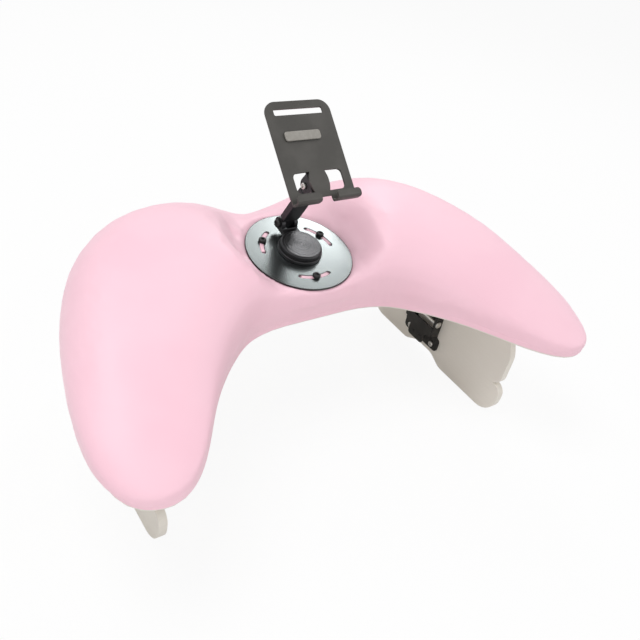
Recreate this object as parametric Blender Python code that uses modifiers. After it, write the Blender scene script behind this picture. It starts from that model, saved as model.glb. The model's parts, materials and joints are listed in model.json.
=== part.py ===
"""Manicure hand rest with a phone holder.

A soft horseshoe pad on a thin wooden board stands on two wooden side panels,
which fold inwards on locking brackets. A steel disc is screwed into the middle
of the pad and carries a phone holder on a swivelling foot and a tilting arm.
All sizes are in metres, X to the right, Y to the back, Z up.
"""

import math

import bmesh
import bpy
import numpy as np
from mathutils import Matrix, Vector

# Fits
GAP = 0.0003
MERGE = 0.00001
CUT_OVERSHOOT = 0.0030
JOIN_OVERLAP = 0.0010

# Board
BOARD_TOP = 0.1242
BOARD_THICKNESS = 0.0040
BOARD_STATIONS = 24

# Pad: both edges of its right half seen from above, as shares of half its span and in metres,
# and its heights and sections from the middle to the tip
PAD_SPAN = 0.5225
PAD_OUTER_SHARES = (0.0, 0.180, 0.419, 0.698, 0.888, 0.992, 1.145)
PAD_OUTER_DEPTHS = (0.0883, 0.0912, 0.0915, 0.0623, -0.0078, -0.0943, -0.1984)
PAD_INNER_SHARES = (0.0, 0.165, 0.289, 0.371, 0.461, 0.561, 0.651)
PAD_INNER_DEPTHS = (-0.0755, -0.0745, -0.0800, -0.0915, -0.1110, -0.1460, -0.2348)
PAD_HEIGHTS = (0.0438, 0.0748, 0.0801, 0.0610, 0.0220)
PAD_CREST_SHIFTS = (-0.045, 0.32, 0.235)
PAD_OUTER_FULLNESS = (2.07, 1.95)
PAD_INNER_FULLNESS = (2.90, 2.45)
PAD_SIDE_WALLS = (0.0228, 0.0148)
PAD_TUCKS = (0.0067, 0.0002)
PAD_END_START = 0.70
PAD_END_FULLNESS = 2.30
PAD_END_HEIGHT = 0.35
PAD_END_TRIM = 0.0002
PAD_STATIONS = 30
PAD_SECTION_STEPS = 18

# Hollow in the pad round the disc
DISH_RIM = 0.0005
DISH_FLAT = 0.0020
DISH_REACH = 0.0350
DISH_SHOULDER = 0.35

# Mounting disc
DISC_RADIUS = 0.0550
DISC_THICKNESS = 0.0020
DISC_HEIGHT = 0.0459
DISC_BACK = -0.0204
DISC_TILT = math.radians(8.8)
SLOT_FROM_RIM = 0.0170
SLOT_WIDTH = 0.0045
SLOT_HALF_ANGLE = math.radians(24.0)
FIRST_SLOT_ANGLE = math.radians(25.0)
SLOT_COUNT = 3
DISC_STEPS = 56

# Disc screws
DISC_SCREW_HEAD_RADIUS = 0.0040
DISC_SCREW_HEAD_HEIGHT = 0.0030
DISC_SCREW_SHANK_RADIUS = 0.0018
DISC_SCREW_LENGTH = 0.0140

# Swivelling foot
FOOT_RADIUS = 0.0225
FOOT_HEIGHT = 0.0033
FOOT_CHAMFER = 0.0006
SPIGOT_RADIUS = 0.0060
POST_RADIUS = 0.0090
POST_HEIGHT = 0.0024
CAP_RADIUS = 0.0210
CAP_HEIGHT = 0.0048
CAP_CHAMFER = 0.0012
CAP_GROOVE_DEPTH = 0.0005
CAP_GROOVE_WIDTH = 0.0006
CAP_GROOVE_HEIGHT = 0.0016
ROUND_STEPS = 32

# Holder arm and its two knuckles
LOWER_PIVOT_BACK = 0.0318
LOWER_PIVOT_UP = 0.0112
CHEEK_RADIUS = 0.0065
CHEEK_THICKNESS = 0.0040
KNUCKLE_SHOULDER = 0.0074
ARM_LENGTH = 0.0644
ARM_LEAN = math.radians(18.8)
ARM_THICKNESS = 0.0070
ARM_CORNER = 0.0015
TONGUE_WIDTH = 0.0100
TONGUE_RADIUS = 0.0060
BOLT_RADIUS = 0.0022
LOWER_BOLT_HEAD_RADIUS = 0.0046
LOWER_BOLT_HEAD_HEIGHT = 0.0028
UPPER_BOLT_HEAD_RADIUS = 0.0032
UPPER_BOLT_HEAD_HEIGHT = 0.0020
SMALL_ROUND_STEPS = 12
WOOD_SCREW_STEPS = 8

# Phone plate
PLATE_LEAN = math.radians(57.5)
PLATE_WIDTH = 0.0720
PLATE_LENGTH = 0.0940
PLATE_THICKNESS = 0.0020
PLATE_TOP_CORNER = 0.0120
PLATE_BOTTOM_CORNER = 0.0020
PIVOT_ABOVE_EDGE = 0.0160
PIVOT_BEHIND_FACE = 0.0126
TOP_SLOT_WIDTH = 0.0540
TOP_SLOT_HEIGHT = 0.0060
TOP_SLOT_BELOW_TOP = 0.0105
WINDOW_OUTER = 0.0270
WINDOW_INNER = 0.0085
WINDOW_BULGE = 0.0020
WINDOW_BOTTOM = 0.0050
WINDOW_HEIGHT = 0.0200
WINDOW_CORNER = 0.0045
WINDOW_TAPER = 0.0004
HOOK_INNER = 0.0090
HOOK_WIDTH = 0.0265
HOOK_SHEET = 0.0018
HOOK_DEPTH = 0.0078
HOOK_DROP = 0.0055
HOOK_LIP = 0.0070
HOOK_BEND = 0.0025
HOOK_ROOT = 0.0035
HOOK_CORNER = 0.0035
EAR_THICKNESS = 0.0040
EAR_RADIUS = 0.0065
EAR_FOOT_LENGTH = 0.0300
EAR_FOOT_THICKNESS = 0.0015
GRIP_WIDTH = 0.0390
GRIP_TO_LEFT = 0.0040
GRIP_HEIGHT = 0.0090
GRIP_THICKNESS = 0.0018
GRIP_CORNER = 0.0025
GRIP_ABOVE_EDGE = 0.0595

# Side panels
PANEL_FROM_PAD_EDGE = 0.06125
PANEL_THICKNESS = 0.0080
PANEL_FRONT = -0.1710
PANEL_BACK = 0.0560
PANEL_TOP_FRONT = -0.1500
PANEL_TOP_BACK = 0.0200
LOBE_SETBACK = 0.0045
LOBE_TOP = 0.0840
LOBE_TOP_RADIUS = 0.0300
NOTCH_HEIGHT = 0.0420
NOTCH_DEPTH = 0.0140
NOTCH_SPREAD = 0.0015
LOBE_RADIUS = 0.0120
TOE_RADIUS = 0.0240
ARCH_FRONT = -0.0800
ARCH_BACK = -0.0170
ARCH_HEIGHT = 0.0095
ARCH_SLOPE = 0.0180
ARCH_RADIUS = 0.0200

# Locking brackets
BRACKET_Y = -0.0400
SHEET = 0.0020
PIVOT_OFFSET = 0.0130
KNUCKLE_RADIUS = 0.0090
PIVOT_PIN_RADIUS = 0.0030
PIVOT_PIN_HEAD_RADIUS = 0.0052
PIN_HEAD_HEIGHT = 0.0015
LEAF_HALF_WIDTH = 0.0250
LEAF_ABOVE_PIVOT = 0.0050
LEAF_WAIST = 0.0345
LEAF_EAR_HALF_WIDTH = 0.0300
LEAF_EAR_BOTTOM = 0.0160
LEAF_EAR_CORNER = 0.0050
LEAF_EAR_SLOPE = 0.0020
LEAF_SCREW_SPREAD = 0.0200
LEAF_SCREW_HEIGHT = 0.0225
UPPER_SCREW_SPREAD = 0.0120
UPPER_SCREW_HEIGHT = 0.0800
LEAF_WINDOW_HALF_WIDTH = 0.0150
LEAF_WINDOW_BOTTOM = 0.0360
LEAF_WINDOW_HEIGHT = 0.0160
LEAF_WINDOW_CORNER = 0.0020
CHEEK_DEPTH = 0.0120
CHEEK_BOTTOM = 0.0370
CHEEK_CORNER = 0.0050
BOARD_LEAF_HALF_WIDTH = 0.0310
BOARD_LEAF_REACH = 0.0350
BOARD_LEAF_SETBACK = 0.0015
BOARD_LEAF_CORNER = 0.0040
BOARD_SCREW_SPREAD = 0.0180
BOARD_SCREW_NEAR = 0.0160
BOARD_SCREW_FAR = 0.0280
WOOD_SCREW_HEAD_RADIUS = 0.0035
WOOD_SCREW_HEAD_HEIGHT = 0.0018
WOOD_SCREW_SHANK_RADIUS = 0.0015
LEAF_SCREW_LENGTH = 0.0080
BOARD_SCREW_LENGTH = 0.0055
SOCKET_DEPTH = 0.0010

# Locking levers
LEVER_PIN_RADIUS = 0.0025
LEVER_PIN_HEAD_RADIUS = 0.0042
LEVER_PIN_OFFSET = 0.0085
LEVER_PIN_HEIGHT = 0.0570
LEVER_WEB_OFFSET = 0.0110
LEVER_SHEET = 0.0016
LEVER_BOTTOM = 0.0200
LEVER_TONGUE_TOP = 0.0350
LEVER_WEB_TOP = 0.0500
LEVER_TONGUE_HALF_WIDTH = 0.0130
LEVER_TONGUE_CORNER = 0.0040
LEVER_SHOULDER_SLOPE = 0.0020
LEVER_ARM_DEPTH = 0.0060
LEVER_CLEAR_OF_KNUCKLE = 0.0020
LEVER_ARM_CORNER = 0.0020
LEVER_RIVET_RADIUS = 0.0020
LEVER_RIVET_HEIGHT = 0.0008
LEVER_RIVET_SPREAD = 0.0055
LEVER_RIVET_Z = 0.0275

# Colours, roughness and metallic value
FINISHES = {
    "pink_leather": ((0.94, 0.60, 0.69), 0.45, 0.0),
    "cream_board": ((0.66, 0.60, 0.52), 0.55, 0.0),
    "black_steel": ((0.030, 0.028, 0.026), 0.45, 0.6),
    "brushed_disc": ((0.36, 0.39, 0.39), 0.30, 1.0),
    "black_aluminium": ((0.030, 0.030, 0.032), 0.35, 0.7),
    "plate_grey": ((0.080, 0.076, 0.070), 0.50, 0.5),
    "grey_silicone": ((0.26, 0.25, 0.23), 0.75, 0.0),
    "bright_screw": ((0.60, 0.58, 0.55), 0.30, 1.0),
    "black_screw": ((0.020, 0.020, 0.020), 0.35, 0.7),
}

SLOT_RADIUS = DISC_RADIUS - SLOT_FROM_RIM
PANEL_INNER_FACE = PAD_SPAN / 2 - PANEL_FROM_PAD_EDGE

PLANES = {
    "XY": (0.0, 0.0, 0.0),
    "XZ": (math.pi / 2, 0.0, 0.0),
    "YZ": (math.pi / 2, 0.0, math.pi / 2),
}

UP = Vector((0, 0, 1))
DOWN = Vector((0, 0, -1))
TO_LEFT = Vector((-1, 0, 0))
TO_FRONT = Vector((0, -1, 0))


def clear_scene():
    """Remove what the scene holds."""
    for item in list(bpy.data.objects):
        bpy.data.objects.remove(item)


def make_collection(name):
    """Add a collection under the scene."""
    collection = bpy.data.collections.new(name)
    bpy.context.scene.collection.children.link(collection)
    return collection


clear_scene()
PARTS = make_collection("manicure_hand_rest")
CUTTERS = make_collection("cutters")


def finish(name):
    """Principled material with one of the FINISHES, made once."""
    material = bpy.data.materials.get(name)
    if material:
        return material
    colour, roughness, metallic = FINISHES[name]
    material = bpy.data.materials.new(name)
    material.use_nodes = True
    shader = material.node_tree.nodes["Principled BSDF"]
    shader.inputs["Base Color"].default_value = (*colour, 1.0)
    shader.inputs["Roughness"].default_value = roughness
    shader.inputs["Metallic"].default_value = metallic
    return material


def add_object(name, mesh, slot, parent, location=(0, 0, 0), rotation=(0, 0, 0)):
    """Put a mesh in the scene as a part."""
    piece = bpy.data.objects.new(name, mesh)
    PARTS.objects.link(piece)
    piece.parent = parent
    piece.location = location
    piece.rotation_euler = rotation
    mesh.materials.clear()
    mesh.materials.append(finish(slot))
    mesh.shade_smooth()
    mesh.set_sharp_from_angle(angle=math.radians(30))
    return piece


def add_empty(name, parent, location, rotation=(0, 0, 0)):
    """Axis or frame that pieces hang from."""
    empty = bpy.data.objects.new(name, None)
    PARTS.objects.link(empty)
    empty.parent = parent
    empty.location = location
    empty.rotation_euler = rotation
    return empty


def as_cutter(piece):
    """Take a piece out of the parts, to serve as a tool of Booleans."""
    PARTS.objects.unlink(piece)
    CUTTERS.objects.link(piece)
    piece.hide_render = True
    piece.display_type = "WIRE"
    return piece


def combine(target, tool, operation):
    """Cut a tool out of a piece, or join it on."""
    boolean = target.modifiers.new(operation.title(), "BOOLEAN")
    boolean.operation = operation
    boolean.solver = "EXACT"
    boolean.object = as_cutter(tool) if tool.name in PARTS.objects else tool


def evaluated_mesh(piece):
    """Mesh of a piece or curve with its modifiers applied."""
    bpy.context.view_layer.update()
    graph = bpy.context.evaluated_depsgraph_get()
    return bpy.data.meshes.new_from_object(piece.evaluated_get(graph))


def weld(mesh):
    """Join the caps of a curve's mesh to its sides."""
    work = bmesh.new()
    work.from_mesh(mesh)
    bmesh.ops.remove_doubles(work, verts=work.verts, dist=MERGE)
    work.to_mesh(mesh)
    work.free()


def settle(piece):
    """Replace a piece's mesh by what its modifiers make of it."""
    mesh = evaluated_mesh(piece)
    piece.modifiers.clear()
    piece.data = mesh
    mesh.shade_smooth()
    mesh.set_sharp_from_angle(angle=math.radians(30))


def turned(name, profile, slot, parent, location=(0, 0, 0), facing=UP, steps=SMALL_ROUND_STEPS):
    """Solid of revolution about local Z; the profile gives (radius, height) from top to bottom."""
    mesh = bpy.data.meshes.new(name)
    edges = [(i, i + 1) for i in range(len(profile) - 1)]
    mesh.from_pydata([(radius, 0, height) for radius, height in profile], edges, [])
    rotation = UP.rotation_difference(facing).to_euler()
    piece = add_object(name, mesh, slot, parent, location, rotation)
    screw = piece.modifiers.new("Turn", "SCREW")
    screw.steps = screw.render_steps = steps
    screw.use_merge_vertices = True
    screw.merge_threshold = MERGE
    settle(piece)
    return piece


def rod(name, radius, start, length, parent, facing=UP, steps=SMALL_ROUND_STEPS):
    """Plain cylinder that begins at a point and runs along a direction."""
    profile = [(0, length), (radius, length), (radius, 0), (0, 0)]
    return turned(name, profile, "black_steel", parent, start, facing, steps)


def flat_piece(name, outlines, thickness, slot, parent, location=(0, 0, 0), plane="XY"):
    """Plate from closed outlines, the first one outside and the rest holes."""
    curve = bpy.data.curves.new(name, "CURVE")
    curve.dimensions = "2D"
    curve.fill_mode = "BOTH"
    curve.extrude = thickness / 2
    for outline in outlines:
        spline = curve.splines.new("POLY")
        spline.points.add(len(outline) - 1)
        for point, (x, y) in zip(spline.points, outline):
            point.co = (x, y, 0, 1)
        spline.use_cyclic_u = True
    drawing = bpy.data.objects.new(name + "_drawing", curve)
    PARTS.objects.link(drawing)
    mesh = evaluated_mesh(drawing)
    weld(mesh)
    bpy.data.objects.remove(drawing)
    return add_object(name, mesh, slot, parent, location, PLANES[plane])


def rounded(corners, steps=4):
    """Closed outline whose corners (x, y, radius) are rounded by arcs."""
    points = []
    for i, (x, y, radius) in enumerate(corners):
        corner = Vector((x, y))
        if radius == 0:
            points.append((x, y))
            continue
        back = (Vector(corners[i - 1][:2]) - corner).normalized()
        ahead = (Vector(corners[(i + 1) % len(corners)][:2]) - corner).normalized()
        half = back.angle(ahead) / 2
        centre = corner + (back + ahead).normalized() * (radius / math.sin(half))
        first = corner + back * (radius / math.tan(half)) - centre
        last = corner + ahead * (radius / math.tan(half)) - centre
        sweep = first.angle_signed(last)
        for step in range(steps + 1):
            turn = Matrix.Rotation(-sweep * step / steps, 2)
            points.append(tuple(centre + turn @ first))
    return points


def rectangle(x, y, half_width, half_height, radius, steps=4):
    """Rectangle about a centre with rounded corners."""
    left, right = x - half_width, x + half_width
    low, high = y - half_height, y + half_height
    return rounded([(left, low, radius), (right, low, radius), (right, high, radius), (left, high, radius)], steps)


def circle(x, y, radius, steps=SMALL_ROUND_STEPS):
    """Closed outline of a circle."""
    turns = [2 * math.pi * i / steps for i in range(steps)]
    return [(x + radius * math.cos(turn), y + radius * math.sin(turn)) for turn in turns]


def spline_through(values, level=True):
    """Smooth curve through evenly spaced values, level or straight at its start."""
    count = len(values)
    system = np.zeros((count, count))
    target = np.zeros(count)
    system[0, :2] = (1, 0) if level else (2, 1)
    target[0] = 0 if level else 3 * (values[1] - values[0])
    for i in range(1, count - 1):
        system[i, i - 1:i + 2] = 1, 4, 1
        target[i] = 3 * (values[i + 1] - values[i - 1])
    system[-1, -1] = 1
    system[-1, -3] = -1
    target[-1] = 2 * (values[-1] - 2 * values[-2] + values[-3])
    slopes = np.linalg.solve(system, target)

    def value(s):
        place = s * (count - 1)
        i = min(int(place), count - 2)
        t = place - i
        rise = values[i] * (1 + 2 * t) * (1 - t) ** 2 + values[i + 1] * t * t * (3 - 2 * t)
        return float(rise + slopes[i] * t * (1 - t) ** 2 - slopes[i + 1] * t * t * (1 - t))

    return value


outer_edge_share = spline_through(PAD_OUTER_SHARES, level=False)
outer_edge_depth = spline_through(PAD_OUTER_DEPTHS)
inner_edge_share = spline_through(PAD_INNER_SHARES, level=False)
inner_edge_depth = spline_through(PAD_INNER_DEPTHS)
pad_height = spline_through(PAD_HEIGHTS)
pad_crest_shift = spline_through(PAD_CREST_SHIFTS)


def between(pair, s):
    """Value between a pair, for the middle of the pad and for its tip."""
    return pair[0] + (pair[1] - pair[0]) * s


def fade(value):
    """Smooth step from 0 to 1."""
    value = min(max(value, 0.0), 1.0)
    return value * value * (3 - 2 * value)


def end_rounding(s):
    """Share of the full width that is left towards the pad's round end."""
    way = max((s - PAD_END_START) / (1 - PAD_END_START), 0.0)
    return (1 - way ** PAD_END_FULLNESS) ** (1 / PAD_END_FULLNESS)


def pad_section(s):
    """Middle of a section, the direction outwards, half its width and how far its foot is tucked in."""
    outer = Vector((outer_edge_share(s) * PAD_SPAN / 2, outer_edge_depth(s)))
    inner = Vector((inner_edge_share(s) * PAD_SPAN / 2, inner_edge_depth(s)))
    half = (outer - inner).length / 2 * end_rounding(s)
    tuck = min(between(PAD_TUCKS, s), half / 2)
    return (outer + inner) / 2, (outer - inner).normalized(), half, tuck


def dished(point, steepness):
    """Lift or lower a point of the pad's top to the plane that the disc lies in."""
    radius = math.hypot(point.x, (point.y - DISC_BACK) / math.cos(DISC_TILT))
    reach = (radius - DISC_RADIUS - DISH_FLAT) / DISH_REACH
    level = BOARD_TOP + DISC_HEIGHT + DISH_RIM + (point.y - DISC_BACK) * math.tan(DISC_TILT)
    weight = fade(1 - reach) * fade(steepness / DISH_SHOULDER)
    return Vector((point.x, point.y, point.z + weight * (level - point.z)))


def pad_ring(s):
    """Closed section across the pad at one station, starting at its outer foot."""
    centre, outward, half, tuck = pad_section(s)
    height = pad_height(s) * (PAD_END_HEIGHT + (1 - PAD_END_HEIGHT) * end_rounding(s))
    wall = min(between(PAD_SIDE_WALLS, s), height / 2)
    crest = pad_crest_shift(s) * half
    base = BOARD_TOP + GAP

    def place(across, up):
        spot = centre + outward * across
        return Vector((spot.x, spot.y, base + up))

    ring = [place(half - tuck, 0)]
    for step in range(PAD_SECTION_STEPS + 1):
        angle = math.pi * step / PAD_SECTION_STEPS
        side = half - crest if math.cos(angle) >= 0 else -half - crest
        fullness = PAD_OUTER_FULLNESS if math.cos(angle) >= 0 else PAD_INNER_FULLNESS
        power = 2 / between(fullness, s)
        across = crest + side * abs(math.cos(angle)) ** power
        up = wall + (height - wall) * abs(math.sin(angle)) ** power
        ring.append(dished(place(across, up), math.sin(angle)))
    ring.append(place(tuck - half, 0))
    return ring


def pad_station(i, count):
    """Stations from the middle to the tip, ever closer together towards the tip."""
    return (1 - PAD_END_TRIM) * math.sin(math.pi / 2 * i / (count - 1))


def pad_bounds():
    """Front and back of the pad, which set the middle of the whole rest."""
    rings = [pad_ring(pad_station(i, PAD_STATIONS)) for i in range(PAD_STATIONS)]
    depths = [point.y for ring in rings for point in ring]
    return min(depths), max(depths)


def make_pad(rest, disc_frame):
    """Soft pad: sections lofted along half a horseshoe, mirrored, with the disc's seat cut in."""
    loft = bmesh.new()
    rings = []
    for i in range(PAD_STATIONS):
        ring = pad_ring(pad_station(i, PAD_STATIONS))
        rings.append([loft.verts.new(point) for point in ring])
    for ring, following in zip(rings, rings[1:]):
        for i in range(len(ring)):
            j = (i + 1) % len(ring)
            loft.faces.new((ring[i], ring[j], following[j], following[i]))
    loft.faces.new(rings[-1])
    bmesh.ops.recalc_face_normals(loft, faces=loft.faces)
    mesh = bpy.data.meshes.new("arm_pad")
    loft.to_mesh(mesh)
    loft.free()
    pad = add_object("arm_pad", mesh, "pink_leather", rest)
    mirror = pad.modifiers.new("Mirror", "MIRROR")
    mirror.merge_threshold = MERGE
    seat_depth = DISC_THICKNESS + GAP
    seat = rod("disc_seat", DISC_RADIUS + GAP, (0, 0, -seat_depth), DISC_HEIGHT, disc_frame, UP, DISC_STEPS)
    combine(pad, seat, "DIFFERENCE")
    depth = DISC_SCREW_LENGTH - DISC_THICKNESS + GAP
    for i, (x, y) in enumerate(disc_screw_spots()):
        start = (x, y, -DISC_THICKNESS - depth)
        hole = rod(f"pad_pilot_{i}", DISC_SCREW_SHANK_RADIUS + GAP, start, depth, disc_frame)
        combine(pad, hole, "DIFFERENCE")
    return pad


def make_board(rest):
    """Thin wooden board with the outline of the pad's foot."""
    outer, inner = [], []
    for i in range(BOARD_STATIONS):
        s = pad_station(i, BOARD_STATIONS)
        centre, outward, half, tuck = pad_section(s)
        outer.append(centre + outward * (half - tuck))
        inner.append(centre - outward * (half - tuck))
    right = outer + inner[::-1]
    left = [Vector((-point.x, point.y)) for point in inner[1:] + outer[:0:-1]]
    outline = [tuple(point) for point in right + left]
    middle = BOARD_TOP - BOARD_THICKNESS / 2
    return flat_piece("base_board", [outline], BOARD_THICKNESS, "cream_board", rest, (0, 0, middle))


def disc_screw_spots():
    """Places of the disc's screws, each in the middle of its slot."""
    angles = [FIRST_SLOT_ANGLE + 2 * math.pi * i / SLOT_COUNT for i in range(SLOT_COUNT)]
    return [(SLOT_RADIUS * math.cos(angle), SLOT_RADIUS * math.sin(angle)) for angle in angles]


def arc_slot(middle_angle):
    """Curved slot with round ends, concentric with the disc."""
    outline = []
    half_width = SLOT_WIDTH / 2
    for step in range(9):
        angle = middle_angle - SLOT_HALF_ANGLE + SLOT_HALF_ANGLE * step / 4
        radius = SLOT_RADIUS + half_width
        outline.append((radius * math.cos(angle), radius * math.sin(angle)))
    for end, start in ((1, 0), (-1, math.pi)):
        centre_angle = middle_angle + end * SLOT_HALF_ANGLE
        centre = Vector((math.cos(centre_angle), math.sin(centre_angle))) * SLOT_RADIUS
        for step in range(1, 5):
            angle = centre_angle + start + math.pi * step / 5
            outline.append((centre.x + half_width * math.cos(angle), centre.y + half_width * math.sin(angle)))
        if end == 1:
            for step in range(8, -1, -1):
                angle = middle_angle - SLOT_HALF_ANGLE + SLOT_HALF_ANGLE * step / 4
                radius = SLOT_RADIUS - half_width
                outline.append((radius * math.cos(angle), radius * math.sin(angle)))
    return outline


def make_disc(disc_frame):
    """Steel disc with three curved slots and a hole for the foot's spigot."""
    angles = [FIRST_SLOT_ANGLE + 2 * math.pi * i / SLOT_COUNT for i in range(SLOT_COUNT)]
    outlines = [circle(0, 0, DISC_RADIUS, DISC_STEPS), circle(0, 0, SPIGOT_RADIUS + GAP, 32)]
    outlines += [arc_slot(angle) for angle in angles]
    middle = -DISC_THICKNESS / 2
    flat_piece("mounting_disc", outlines, DISC_THICKNESS, "brushed_disc", disc_frame, (0, 0, middle))


def fastener_profile(head_radius, head_height, shank_radius, length):
    """Screw seated at height zero, with a rounded head and a round socket."""
    socket = head_radius * 0.5
    floor = head_height - SOCKET_DEPTH
    edge = head_height * 0.3
    return [(0, floor), (socket, floor), (socket, head_height), (head_radius - edge, head_height),
            (head_radius, head_height - edge), (head_radius, 0), (shank_radius, 0),
            (shank_radius, -length), (0, -length)]


def make_disc_screws(disc_frame):
    """Screws that clamp the disc through its slots."""
    profile = fastener_profile(DISC_SCREW_HEAD_RADIUS, DISC_SCREW_HEAD_HEIGHT, DISC_SCREW_SHANK_RADIUS,
                               DISC_SCREW_LENGTH)
    for i, (x, y) in enumerate(disc_screw_spots()):
        turned(f"disc_screw_{i + 1}", profile, "black_screw", disc_frame, (x, y, GAP))


def cap_underside():
    """Height of the cap's lower face over the disc."""
    return FOOT_HEIGHT + 2 * GAP


def make_foot(disc_frame):
    """Fixed ring on the disc, with a post for the cap and a spigot through the disc."""
    top = FOOT_HEIGHT
    profile = [(0, top + POST_HEIGHT), (POST_RADIUS, top + POST_HEIGHT), (POST_RADIUS, top),
               (FOOT_RADIUS - FOOT_CHAMFER, top), (FOOT_RADIUS, top - FOOT_CHAMFER), (FOOT_RADIUS, 0),
               (SPIGOT_RADIUS, 0), (SPIGOT_RADIUS, -DISC_THICKNESS), (0, -DISC_THICKNESS)]
    turned("swivel_base", profile, "black_aluminium", disc_frame, (0, 0, GAP), UP, ROUND_STEPS)


def make_cap(swivel):
    """Cap that turns on the foot, with a fork at the back for the arm."""
    bore = POST_HEIGHT + GAP
    rim = CAP_HEIGHT - CAP_CHAMFER
    groove_top = CAP_GROOVE_HEIGHT + CAP_GROOVE_WIDTH
    profile = [(0, CAP_HEIGHT), (CAP_RADIUS - CAP_CHAMFER, CAP_HEIGHT), (CAP_RADIUS, rim),
               (CAP_RADIUS, groove_top), (CAP_RADIUS - CAP_GROOVE_DEPTH, groove_top),
               (CAP_RADIUS - CAP_GROOVE_DEPTH, CAP_GROOVE_HEIGHT), (CAP_RADIUS, CAP_GROOVE_HEIGHT),
               (CAP_RADIUS, 0), (POST_RADIUS + GAP, 0), (POST_RADIUS + GAP, bore), (0, bore)]
    cap = turned("swivel_cap", profile, "black_aluminium", swivel, (0, 0, cap_underside()), UP, ROUND_STEPS)
    low = cap_underside() + JOIN_OVERLAP / 2
    high = cap_underside() + CAP_HEIGHT - JOIN_OVERLAP / 2
    top = LOWER_PIVOT_UP + CHEEK_RADIUS
    far = LOWER_PIVOT_BACK + CHEEK_RADIUS
    near = LOWER_PIVOT_BACK - CHEEK_RADIUS
    root = POST_RADIUS + GAP + JOIN_OVERLAP
    side = rounded([(root, low, 0), (far, low, CHEEK_RADIUS), (far, top, CHEEK_RADIUS),
                    (near, top, CHEEK_RADIUS), (near - JOIN_OVERLAP, high, JOIN_OVERLAP), (root, high, 0)])
    width = TONGUE_WIDTH + 2 * (GAP + CHEEK_THICKNESS)
    fork = flat_piece("fork", [side], width, "black_aluminium", swivel, plane="YZ")
    combine(cap, fork, "UNION")
    slot_front = LOWER_PIVOT_BACK - KNUCKLE_SHOULDER
    slot_back = far + CUT_OVERSHOOT
    slot_side = rectangle((slot_front + slot_back) / 2, LOWER_PIVOT_UP, (slot_back - slot_front) / 2,
                          KNUCKLE_SHOULDER + CUT_OVERSHOOT, JOIN_OVERLAP)
    slot = flat_piece("fork_slot", [slot_side], TONGUE_WIDTH + 2 * GAP, "black_aluminium", swivel, plane="YZ")
    combine(cap, slot, "DIFFERENCE")
    start = (-width, LOWER_PIVOT_BACK, LOWER_PIVOT_UP)
    hole = rod("fork_hole", BOLT_RADIUS + GAP, start, 2 * width, swivel, -TO_LEFT)
    combine(cap, hole, "DIFFERENCE")
    return width


def make_bolt(name, head_radius, head_height, width, slot, parent, location):
    """Bolt across a fork, its head on the left and its end flush with the right cheek."""
    profile = fastener_profile(head_radius, head_height, BOLT_RADIUS, width + GAP)
    place = Vector(location) + Vector((-width / 2 - GAP, 0, 0))
    turned(name, profile, slot, parent, place, TO_LEFT)


def make_arm(arm_pivot):
    """Flat arm with a narrow round-ended tongue at each end."""
    half = ARM_THICKNESS / 2
    body_width = TONGUE_WIDTH + 2 * (GAP + CHEEK_THICKNESS)
    body_length = ARM_LENGTH - 2 * KNUCKLE_SHOULDER
    front = rectangle(0, ARM_LENGTH / 2, body_width / 2, body_length / 2, ARM_CORNER)
    arm = flat_piece("holder_arm", [front], ARM_THICKNESS, "black_aluminium", arm_pivot, plane="XZ")
    neck = TONGUE_RADIUS + 0.5 * (TONGUE_RADIUS - half)
    side = []
    for centre, direction in ((0, 1), (ARM_LENGTH, -1)):
        for step in range(13):
            angle = math.pi * (0.15 + 0.70 * step / 12) + (math.pi if direction == 1 else 0)
            side.append((TONGUE_RADIUS * math.cos(angle), centre + TONGUE_RADIUS * math.sin(angle)))
        sign = 1 if direction == 1 else -1
        side.append((sign * half * 0.9, centre + direction * neck))
        if direction == 1:
            side.append((half * 0.9, ARM_LENGTH - neck))
    side.append((-half * 0.9, neck))
    tongues = flat_piece("tongues", [side], TONGUE_WIDTH, "black_aluminium", arm_pivot, plane="YZ")
    combine(arm, tongues, "UNION")
    for i, height in enumerate((0, ARM_LENGTH)):
        start = (-TONGUE_WIDTH, 0, height)
        hole = rod(f"arm_hole_{i}", BOLT_RADIUS + GAP, start, 2 * TONGUE_WIDTH, arm_pivot, -TO_LEFT)
        combine(arm, hole, "DIFFERENCE")


def plate_outlines():
    """Phone plate seen from the front: outside, hand slot and two windows round a tongue."""
    half = PLATE_WIDTH / 2
    low = -PIVOT_ABOVE_EDGE
    top = low + PLATE_LENGTH
    outside = rounded([(-half, low, PLATE_BOTTOM_CORNER), (half, low, PLATE_BOTTOM_CORNER),
                       (half, top, PLATE_TOP_CORNER), (-half, top, PLATE_TOP_CORNER)], 8)
    slot = rectangle(0, top - TOP_SLOT_BELOW_TOP, TOP_SLOT_WIDTH / 2, TOP_SLOT_HEIGHT / 2, TOP_SLOT_HEIGHT / 4)
    bottom = low + WINDOW_BOTTOM
    window_top = bottom + WINDOW_HEIGHT
    window = []
    for step in range(9):
        share = step / 8
        bulge = WINDOW_BULGE * math.sin(math.pi * share)
        window.append((WINDOW_INNER + bulge, bottom + WINDOW_HEIGHT * share))
    outer = rounded([(WINDOW_INNER, bottom, 0), (WINDOW_OUTER, bottom + WINDOW_TAPER, WINDOW_CORNER),
                     (WINDOW_OUTER, window_top - WINDOW_TAPER, WINDOW_CORNER), (WINDOW_INNER, window_top, 0)], 4)
    window += outer[::-1][1:-1]
    mirrored = [(-x, y) for x, y in window]
    return [outside, slot, window, mirrored]


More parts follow.
